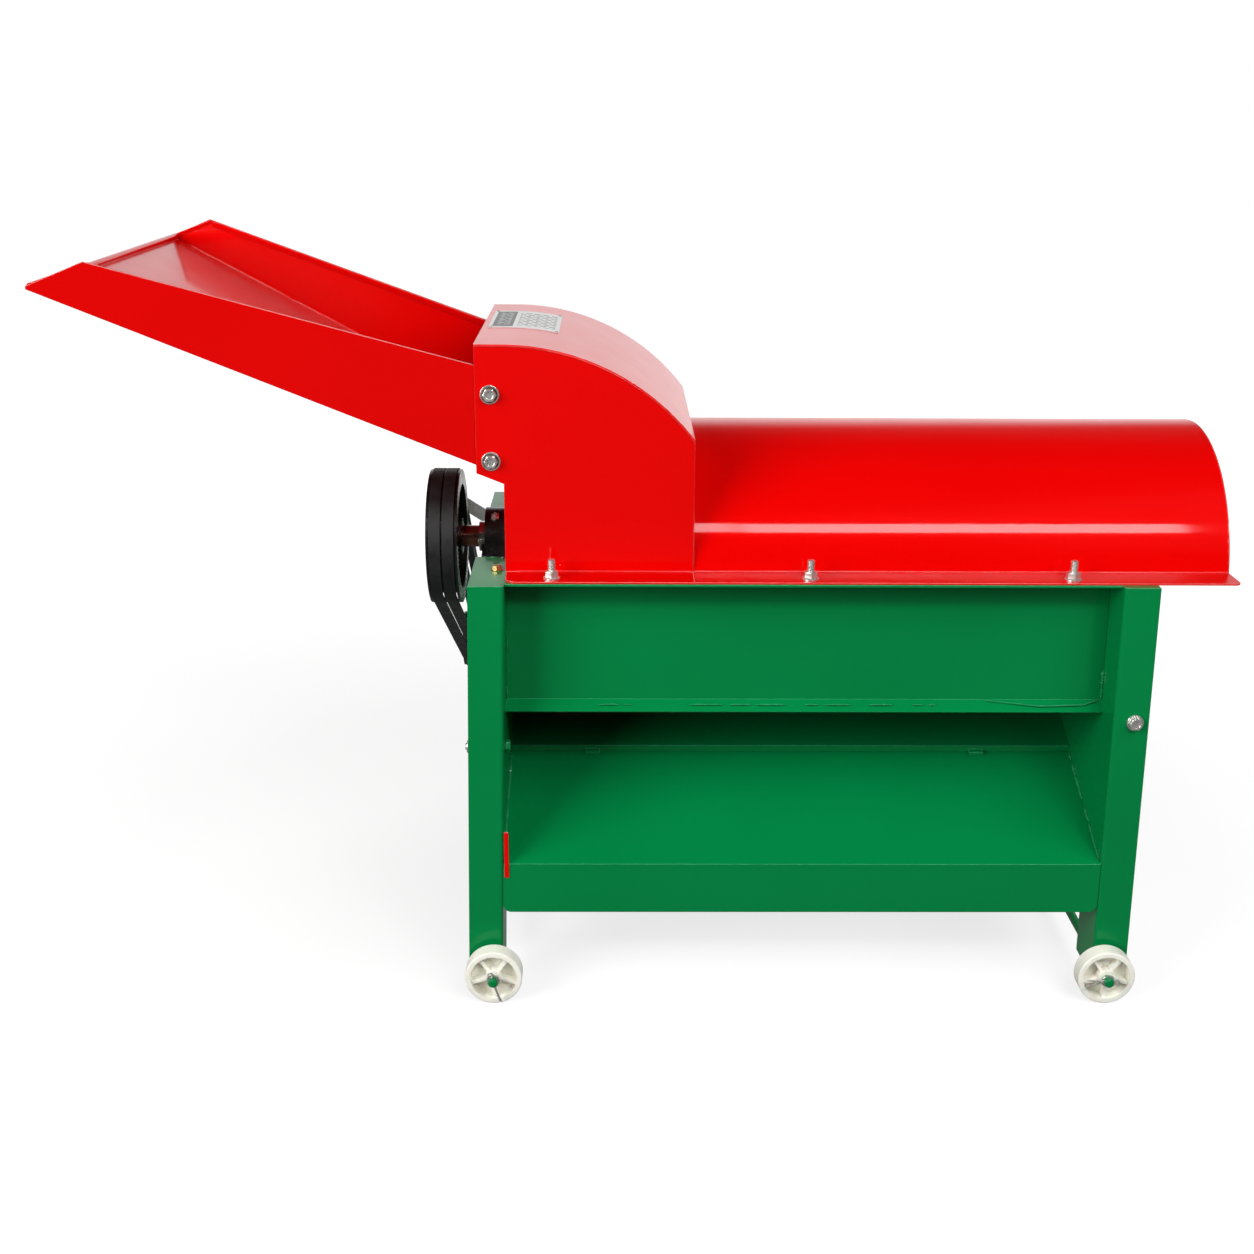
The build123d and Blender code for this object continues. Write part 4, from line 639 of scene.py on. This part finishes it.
screws = Soup()
for x in (at(-1.0, 0, 0).x, at(725.0, 0, 0).x):
    for a in (98, 218):
        out = Vector((0, -sin(radians(a)), cos(radians(a))))
        base = Vector((x, CENTRE_Y, DRUM.z)) + out * 0.0165
        screws.lathe(base, out, [(0, 0.0032), (0.0014, 0.0032), (0.0018, 0.0027), (0.00181, 0.0014), (0.0008, 0.0013)],
                     24)
screws.made("bearing_set_screws", BRASS, "drum", "bright_steel")


# ---- split pins and axle ends ---------------------------------------------------------------------------------
def smooth_path(points, count=24):
    """Points of a Catmull-Rom curve through the given ones."""
    pts = [Vector(p) for p in points]
    pts = [pts[0] * 2 - pts[1], *pts, pts[-1] * 2 - pts[-2]]
    path = []
    for i in range(1, len(pts) - 2):
        a, b, c, d = pts[i - 1:i + 3]
        for k in range(count):
            t = k / count
            path.append(0.5 * (2 * b + (c - a) * t + (2 * a - 5 * b + 4 * c - d) * t * t
                               + (3 * b - a - 3 * c + d) * t ** 3))
    path.append(pts[-2])
    return path


axle_low, axle_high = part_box("axle_left")
AXLE_Z = joints["wheel_fl_spin"].z
# place of each axle end along the stand, its tip and the side it points to
AXLES = {key: (joints[f"wheel_{key}_spin"].x, tip, side)
         for key, tip, side in (("fl", axle_low.y, -1), ("fr", axle_low.y, -1), ("rl", axle_high.y, 1),
                                ("rr", axle_high.y, 1))}
# angle of the pin in the axle, and where its two legs end, in millimetres along and across the pin
PINS = {"fl": (-72, (26, 0.9), (24.5, -0.7)), "fr": (178, (24, -1.2), (24.5, 9)), "rl": (-70, (20, -7), (18, 6)),
        "rr": (15, (21, 5), (19, -7))}
PIN_WIRE = 0.00095                            # radius
pins = Soup()
for key, (x, tip, side) in AXLES.items():
    turn, leg_a, leg_b = PINS[key]
    centre = Vector((x, tip - side * 0.0042, AXLE_Z))
    along = Vector((cos(radians(turn)), 0, sin(radians(turn))))
    across = Vector((-along.z, 0, along.x))
    out = Vector((0, side, 0))
    for sign, leg in ((1, leg_a), (-1, leg_b)):
        eye = [centre - along * (0.0052 + e) + across * sign * w
               for e, w in ((0.0062, 0.0004), (0.0050, 0.0023), (0.0022, 0.0026), (0.0, 0.0006))]
        end = centre + along * leg[0] / 1000 + across * leg[1] / 1000
        body = [centre + across * sign * 0.0006, centre + along * 0.006 + across * sign * 0.0006]
        middle = centre + along * leg[0] * 0.55 / 1000 + across * leg[1] * 0.32 / 1000
        path = smooth_path(eye + body + [middle, end], 8)
        pins.tube(path, PIN_WIRE, 8)
pins.made("split_pins_spread", ZINC, "stand", "zinc_steel", replaces=["split_pins"])

washer_low, washer_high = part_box("wheel_washers")
washers = Soup()
for x, tip, side in AXLES.values():
    outer = washer_low.y if side < 0 else washer_high.y
    washer(washers, Vector((x, outer - side * 0.0013, AXLE_Z)), (0, side, 0), 0.0074, 0.0012)
washers.made("axle_washers", ZINC, "stand", "zinc_steel", replaces=["wheel_washers"])

caps = Soup()
for x, tip, side in AXLES.values():
    out = Vector((0, side, 0))
    caps.lathe(Vector((x, tip - side * 0.0026, AXLE_Z)), out,
               [(0, 0.0052), (0.0014, 0.0054), (0.0024, 0.0047), (0.0027, 0.003)], 28)
caps.made("axle_end_paint", GREEN, "stand", "green_paint")


# ---- welds and paint runs on the stand ------------------------------------------------------------------------
LENGTH_MM = STAND_LENGTH * 1000
green_welds = Soup()
PANEL_Y, LIP_Z = 48.0, 336                    # front panel's face and the fold of its lip, in millimetres
lip_run = 16 / sqrt(2)
lip_y, lip_z = PANEL_Y - lip_run * 0.55, LIP_Z - lip_run * 0.48 + 2.0
for x0, x1 in ((96, 118), (124, 132), (196, 232), (240, 262), (268, 300), (322, 338), (344, 372), (392, 418),
               (440, 452), (458, 466)):
    bead(green_welds, [at(x0 + 40, lip_y, lip_z), at(x1 + 40, lip_y, lip_z)], 0.0011)
bead(green_welds, [at(560, 46.5, 336), at(620, 40, 332), at(668, 41.5, 333), at(684, 46, 337)], 0.0010, 0.1)
JOIN_Y = 46.8                                 # corner of the front panel and the legs
for z0, z1 in ((338, 352), (352, 372), (470, 478)):
    bead(green_welds, [at(LENGTH_MM - inner_edge(z) - 0.8, JOIN_Y, z) for z in (z0, z1)], 0.0019)
for z0, z1 in ((338, 350), (392, 404), (462, 476)):
    bead(green_welds, [at(inner_edge(z) + 0.8, JOIN_Y, z) for z in (z0, z1)], 0.0014)


def slide_z(y):
    """Height of the front slide at a depth, in millimetres."""
    return 159.4 + (y - 1) * 0.477


for side in (0, 1):
    def along_slide(y, lift=0.6):
        z = slide_z(y)
        x = inner_edge(z) + 0.6
        return at(LENGTH_MM - x if side else x, y, z + lift)
    for y0, y1 in ((8, 52), (56, 74), (84, 132), (138, 148)):
        bead(green_welds, [along_slide(y0), along_slide(y1)], 0.0017 if side else 0.0014)
RAIL_HALF = 0.0146                            # half a rail's width with its weld
RAIL_X = (at(46, 0, 0).x, at(146, 0, 0).x)
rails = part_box("cross_rails")
for y in (rails[0].y + 0.014, rails[1].y - 0.014):
    for sign, edge in ((1, rails[0].x), (-1, rails[1].x)):
        z0, z1 = rails[0].z, rails[1].z
        bead(green_welds, [Vector((edge + sign * 0.0006, y + across, z))
                           for across, z in ((-RAIL_HALF, z0), (-RAIL_HALF, z1), (RAIL_HALF, z1), (RAIL_HALF, z0))],
             0.0018)
motor_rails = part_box("motor_rails")
for x in RAIL_X:
    for sign in (-1, 1):
        for y in (rails[0].y + 0.014, rails[1].y - 0.014):
            bead(green_welds, [Vector((x + sign * RAIL_HALF, y + end, motor_rails[0].z + 0.0004))
                               for end in (-0.011, 0.011)], 0.0018)
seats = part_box("bearing_seats")
for x, sign in ((seats[0].x, -1), (seats[1].x, 1)):
    inside = at(inner_edge(440) - 2, 0, 0).x if sign < 0 else at(LENGTH_MM - inner_edge(440) + 2, 0, 0).x
    for y, push in ((seats[0].y, 1), (seats[1].y, -1)):
        bead(green_welds, [Vector((end, y - push * 0.0004, seats[1].z)) for end in (x, inside)], 0.0022, 0.35)
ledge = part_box("concave_ledges")
for y in (ledge[0].y, ledge[1].y):
    for k in range(6):
        x = ledge[0].x + 0.05 + k * (ledge[1].x - ledge[0].x - 0.13) / 5
        bead(green_welds, [Vector((x, y, ledge[0].z)), Vector((x + 0.03, y, ledge[0].z))], 0.0014)
green_welds.made("stand_welds", GREEN_BEAD, "stand", "green_paint")

runs = Soup()                                 # paint that ran down from the bearing seat on to the top plate
SEAT_EDGE_Y = -94.5                           # from the drum axis, in millimetres
for x0, width, drop in ((20, 9, 4), (30, 5, 9), (11, 4, 3)):
    base = Vector((at(x0, 0, 0).x, CENTRE_Y + SEAT_EDGE_Y / 1000, STAND_TOP))
    outline = []
    for k in range(24):
        a = 2 * pi * k / 24
        outline.append((width / 2000 * cos(a), -max(0, sin(a)) * drop / 1000))
    low = [base + Vector((u, v - 0.0005, 0.0)) for u, v in outline]
    high = [base + Vector((u * 0.7, v * 0.8 - 0.0005, 0.0007)) for u, v in outline]
    runs.rings([low, high])
runs.made("paint_runs", GREEN_BEAD, "stand", "green_paint")


# ---- chute hems, creases and welds ----------------------------------------------------------------------------
HOUSING_X = 8.5                               # where the chute meets the housing, in millimetres
CORNER_X, TIP_X = -349.0, -400.0              # upper corner and lower tip of the chute's walls
SHEET = 2.0


def rim_z(x):
    """Height of a side wall's upper edge."""
    return 702.0 - (x - HOUSING_X) * 0.3136


def floor_z(x):
    """Height of the chute's floor."""
    return 597.5 - (x - HOUSING_X) * 0.471


def wall_y(x, inset=0.0):
    """Depth of the near wall's outer face, or of a face set in from it."""
    return 50.0 + inset + 0.275 * min(0.0, x - HOUSING_X)


def hem(soup, start, end, inward, down, depth=0.008, thick=0.0012):
    """Flat folded edge on a sheet's inner face: a strip with a round top, from start to end along the rim."""
    sections = []
    start, end = Vector(start), Vector(end)
    for k in range(13):
        p = start.lerp(end, k / 12)
        wave = 0.0002 * sin(k * 1.7)
        sections.append([p, p + inward * (thick * 0.5 + wave) - down * 0.0004, p + inward * (thick + wave),
                         p + inward * thick + down * depth * 0.9, p + inward * thick * 0.6 + down * depth,
                         p + down * depth])
    soup.strip(sections)


red_soup = Soup()
for turn in (Vector, mirrored):
    inward = (turn(at(0, 60, 0)) - turn(at(0, 50, 0))).normalized()
    a = turn(at(HOUSING_X - 2, wall_y(HOUSING_X, SHEET), rim_z(HOUSING_X) - 0.2))
    b = turn(at(CORNER_X + 3, wall_y(CORNER_X + 3, SHEET), rim_z(CORNER_X + 3) - 0.2))
    hem(red_soup, a, b, inward, DOWN)
    c = turn(at(CORNER_X + 1, wall_y(CORNER_X + 1, SHEET), rim_z(CORNER_X) - 1.0))
    d = turn(at(TIP_X + 6, wall_y(TIP_X + 6, SHEET), floor_z(TIP_X) + 6.0))
    hem(red_soup, c, d, inward, Vector((0.7, 0, -0.7)), 0.006)
    seam = [turn(at(x, wall_y(x, SHEET), floor_z(x) + SHEET)) for x in (-385, -250, -120, 0)]
    for p, q in zip(seam, seam[1:]):
        bead(red_soup, [p.lerp(q, 0.04), p.lerp(q, 0.97)], 0.0013, 0.15)
red_soup.made("chute_hems", RED_BEAD, "stand", "red_paint", angle=50)


# ---- housing seams --------------------------------------------------------------------------------------------
red_welds = Soup()
ARC_R = 252.0
ARC_X, ARC_Z = 37.0, 723.6 - ARC_R            # centre of the housing's curved top, in millimetres
HOUSING_TOP_RUN = 226.5                       # length of the top along the stand


def arc_point(x, y, lift=0.0):
    """Point on the housing's top: flat up to the arc's centre, then round."""
    if x <= ARC_X:
        return at(x, y, ARC_Z + ARC_R + lift)
    return at(x, y, ARC_Z + sqrt((ARC_R + lift) ** 2 - (x - ARC_X) ** 2))


FOOT_Z = 482.2
for turn in (Vector, mirrored):
    path = [turn(arc_point(HOUSING_X + 1 + HOUSING_TOP_RUN * k / 30, 48.5, -2.2)) for k in range(31)]
    red_welds.tube(path, 0.0011, 8)
    foot = [turn(at(x, 48.2, FOOT_Z)) for x in (52, 100, 150, 200, 232)]
    red_welds.tube(foot, 0.0013, 8)
for turn in (Vector, mirrored):
    foot = [turn(at(x, 49.2, FOOT_Z)) for x in (240, 400, 600, 800, 810)]
    red_welds.tube(foot, 0.0012, 8)
HALF_SPAN, RISE, MIDDLE_Y = 156.0, 135.0, 205
cover_r = (HALF_SPAN ** 2 + RISE ** 2) / (2 * RISE)
cover_z = STAND_MM + RISE - cover_r
start_angle = atan2(STAND_MM + SHEET - cover_z, HALF_SPAN)


def cover_arch(x, lift):
    """Points round the drum cover at a place along the stand, lifted off its outer face."""
    points = []
    for k in range(41):
        a = start_angle + (pi - 2 * start_angle) * k / 40
        points.append(at(x, MIDDLE_Y - (cover_r + lift) * cos(a), cover_z + (cover_r + lift) * sin(a)))
    return points


red_welds.tube(cover_arch(811.2, -1.0), 0.0013, 8)
red_welds.tube(cover_arch(237.6, 0.2), 0.0010, 8)
red_welds.made("housing_seams", RED_BEAD, "stand", "red_paint", angle=60)


# ---- motor details --------------------------------------------------------------------------------------------
motor_low, motor_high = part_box("motor_frame")
box_low, box_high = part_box("motor_terminal_box")
fan_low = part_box("motor_fan_cover")[0]
bell_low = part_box("motor_end_bells")[0]
details = Soup()
lid_z = box_high.z - 0.0095
rim = Vector((0.0012, 0.0012, 0.0016))        # how far the lid's rim stands out, and half its height
details.box(Vector((box_low.x, box_low.y, lid_z)) - rim, Vector((box_high.x, box_high.y, lid_z)) + rim)
eye = Vector(((motor_low.x + box_low.x) / 2 - 0.004, MOTOR.y, MOTOR.z + 0.082))
details.lathe(eye - UP * 0.009, UP, [(0, 0.009), (0.006, 0.009), (0.009, 0.005)], 32)
ring = [eye + Vector((0.0095 * cos(2 * pi * k / 28), 0, 0.0112 + 0.0095 * sin(2 * pi * k / 28))) for k in range(28)]
details.tube(ring, 0.0028, 12, closed=True)
details.made("motor_lid_and_eye", MOTOR_PAINT, "stand", "grey_paint", bevel=0.0006)

lid_screws = Soup()
for x in (box_low.x + 0.008, box_high.x - 0.008):
    for y in (box_low.y + 0.008, box_high.y - 0.008):
        lid_screws.lathe((x, y, box_high.z - 0.0002), UP, [(0, 0.0036), (0.0008, 0.0036), (0.0016, 0.0026)], 24)
        lid_screws.box((x - 0.0024, y - 0.0004, box_high.z + 0.0011), (x + 0.0024, y + 0.0004, box_high.z + 0.0017))
for k in range(4):
    a = radians(45 + 90 * k)
    out = Vector((0, cos(a), sin(a)))
    base = Vector((bell_low.x + 0.0125, MOTOR.y, MOTOR.z)) + out * 0.0665
    hex_body(lid_screws, base, LEFT, 0.010, 0.004)
    cover_screw = Vector((fan_low.x + 0.009, MOTOR.y, MOTOR.z)) + out * 0.0808
    lid_screws.lathe(cover_screw, out, [(0, 0.0034), (0.0006, 0.0034), (0.0016, 0.0018)], 20)
lid_screws.made("motor_screws", ZINC, "stand", "zinc_steel")

motor_bolts = Soup()
RAIL_TOP = motor_rails[1].z
for x in RAIL_X:
    for dy in (-0.07, 0.07):
        head = Vector((x, MOTOR.y + dy, RAIL_TOP + 0.012))
        hex_body(motor_bolts, head, UP, M8_AF, 0.0053)
        motor_bolts.lathe(head, DOWN, [(0, M8), (0.0365, M8)], 24)
        foot = Vector((x, MOTOR.y + dy, motor_rails[0].z))
        motor_bolts.lathe(foot, DOWN, [(0, 0.0098), (0.0012, 0.0098), (0.0016, 0.0085)], 32)
        hex_body(motor_bolts, foot - UP * 0.0012, DOWN, M8_AF, 0.0053)
        threaded(motor_bolts, foot - UP * 0.006, DOWN, M8, 0.0048)
motor_bolts.made("motor_foot_bolts", ZINC, "stand", "zinc_steel", replaces=["motor_bolts"])

# Blank data plate with bars for its print, on the side away from the stand.
label = Soup()
mid = (motor_low.x + motor_high.x) / 2 + 0.012
plate_y = MOTOR.y + 0.0835
label.box((mid - 0.036, plate_y - 0.006, MOTOR.z - 0.024), (mid + 0.036, plate_y - 0.0052, MOTOR.z + 0.024))
label.made("motor_data_plate", ZINC, "stand", "plate_metal", bevel=0.0002)
lines = Soup()
for k in range(6):
    z = MOTOR.z + 0.017 - k * 0.0066
    for x0, x1 in ((-0.031, -0.012), (-0.008, 0.006), (0.010, 0.030)):
        lines.box((mid + x0, plate_y - 0.0053, z), (mid + x1 - 0.003 * (k % 3), plate_y - 0.0050, z + 0.0016))
lines.made("motor_data_lines", PLASTIC, "stand", "black_plastic", smooth=False)

seal = Soup()
gland_low, gland_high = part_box("cable_gland")
gland_axis = Vector((1, 0, 0))
centre = Vector((gland_low.x, (gland_low.y + gland_high.y) / 2, (gland_low.z + gland_high.z) / 2))
seal.lathe(centre, gland_axis, [(0, 0.0112), (0.004, 0.0112), (0.0046, 0.0104)], 6)
seal.lathe(centre + gland_axis * 0.0046, gland_axis,
           [(0, 0.0092), (0.009, 0.0092), (0.0114, 0.0066), (0.0114, 0.0042), (0.007, 0.0040)], 24)
seal.lathe(Vector((bell_low.x - 0.0002, MOTOR.y, MOTOR.z)), LEFT, [(0, 0.019), (0.0012, 0.019), (0.0016, 0.0172)], 36)
seal.made("gland_and_seal", PLASTIC, "stand", "black_plastic", replaces=["cable_gland"])

# ---- rivets of the name plate ---------------------------------------------------------------------------------
rivets = Soup()
for x in (17.5, 89.5):
    for y in (169, 294):
        top = arc_point(x, y, 0.8)
        normal = (top - at(ARC_X, y, ARC_Z)).normalized() if x > ARC_X else UP
        rivets.lathe(top - normal * 0.0002, normal, [(0, 0.0019), (0.0005, 0.0017), (0.0009, 0.0010)], 16)
rivets.made("plate_rivets", BRIGHT, "stand", "bright_steel")

# ---- studio ---------------------------------------------------------------------------------------------------
BACKDROP = 1.0                                # radiance of the white backdrop
floor_mesh = bpy.data.meshes.new("floor")
floor_mesh.from_pydata([(-40, -40, 0), (40, -40, 0), (40, 40, 0), (-40, 40, 0)], [], [(0, 1, 2, 3)])
floor = bpy.data.objects.new("floor", floor_mesh)
bpy.context.scene.collection.objects.link(floor)
# The floor is lit from below like a light table, more so far away, which keeps it white and its shadows faint.
glow = Shader("floor_white")
glow.set(Base_Color=(0.27, 0.27, 0.27, 1), Roughness=0.9, Specular_IOR_Level=0.0, Emission_Color=(1, 1, 1, 1))
reach = glow.tree.nodes.new("ShaderNodeVectorMath")
reach.operation = "LENGTH"
glow.link(glow.place, "Object", reach, 0)
glow.link(glow.span(reach, "Value", 0.7, 2.2, 0.74, 1.0), "Result", glow.bsdf, "Emission Strength")
floor_mesh.materials.append(glow.material)
floor.visible_glossy = floor.visible_diffuse = False

# The room: white behind the object, grey below and dark in front, so that front faces keep their full colour.
world = bpy.data.worlds.new("studio")
bpy.context.scene.world = world
world.use_nodes = True
room = world.node_tree
backdrop = room.nodes["Background"]
backdrop.inputs["Color"].default_value = (1, 1, 1, 1)
way = room.nodes.new("ShaderNodeTexCoord")
split = room.nodes.new("ShaderNodeSeparateXYZ")
room.links.new(way.outputs["Generated"], split.inputs[0])


def fade(socket, low, high, out_low, out_high):
    node = room.nodes.new("ShaderNodeMapRange")
    for key, value in (("From Min", low), ("From Max", high), ("To Min", out_low), ("To Max", out_high)):
        node.inputs[key].default_value = value
    room.links.new(split.outputs[socket], node.inputs["Value"])
    return node


behind = fade("Y", 0.84, 0.95, 0.0, 1.2 * BACKDROP)
below = fade("Z", 0.05, -0.15, 0.03, 0.15)
brighter = room.nodes.new("ShaderNodeMath")
brighter.operation = "MAXIMUM"
room.links.new(behind.outputs["Result"], brighter.inputs[0])
room.links.new(below.outputs["Result"], brighter.inputs[1])
seen = room.nodes.new("ShaderNodeLightPath")
level = room.nodes.new("ShaderNodeMix")
room.links.new(seen.outputs["Is Camera Ray"], level.inputs["Factor"])
room.links.new(brighter.outputs["Value"], level.inputs["A"])
level.inputs["B"].default_value = BACKDROP
room.links.new(level.outputs["Result"], backdrop.inputs["Strength"])


def softbox(name, place, target, width, height, radiance):
    """Rectangular light at a place, in metres, facing a target."""
    light = bpy.data.lights.new(name, "AREA")
    light.shape = "RECTANGLE"
    light.size, light.size_y = width, height
    light.energy = radiance * pi * width * height
    obj = bpy.data.objects.new(name, light)
    obj.location = place
    obj.rotation_euler = (Vector(target) - Vector(place)).to_track_quat("-Z", "Y").to_euler()
    bpy.context.scene.collection.objects.link(obj)
    return obj


softbox("side", (-2.3, -1.9, 1.5), (0, 0, 0.4), 1.8, 1.8, 10.0)
softbox("strip", (1.05, -2.9, 2.55), (0.9, -0.29, 0.55), 1.4, 0.42, 19.0)
softbox("strip_end", (0.25, -2.9, 2.55), (0.1, -0.29, 0.55), 0.16, 0.42, 17.0)
for light in (softbox("key", (1.5, -1.5, 1.9), (0.1, -0.1, 0.4), 2.0, 1.6, 4.0),
              softbox("rear_fill", (1.5, 3.0, 2.0), (0, 0, 0.4), 2.0, 2.0, 5.0)):
    light.visible_glossy = False

# ---- camera ---------------------------------------------------------------------------------------------------
EYE = at(150.0, -1588.6, 973.9)
PITCH, YAW, ROLL = radians(18.70), radians(0.59), radians(-0.32)
FOCAL = 1599.9 / 1254                         # in image widths
SENSOR_MM = 36
forward = Vector((sin(YAW) * cos(PITCH), cos(YAW) * cos(PITCH), -sin(PITCH)))
right = Vector((cos(YAW), -sin(YAW), 0))
down = forward.cross(right)
right, down = right * cos(ROLL) + down * sin(ROLL), down * cos(ROLL) - right * sin(ROLL)
camera_data = bpy.data.cameras.new("camera")
camera_data.sensor_width = SENSOR_MM
camera_data.lens = SENSOR_MM * FOCAL
camera_data.clip_start = 0.05
camera = bpy.data.objects.new("camera", camera_data)
camera.matrix_world = Matrix(((right.x, -down.x, -forward.x, EYE.x), (right.y, -down.y, -forward.y, EYE.y),
                              (right.z, -down.z, -forward.z, EYE.z), (0, 0, 0, 1)))
bpy.context.scene.collection.objects.link(camera)
bpy.context.scene.camera = camera
bpy.context.scene.view_settings.view_transform = "Standard"
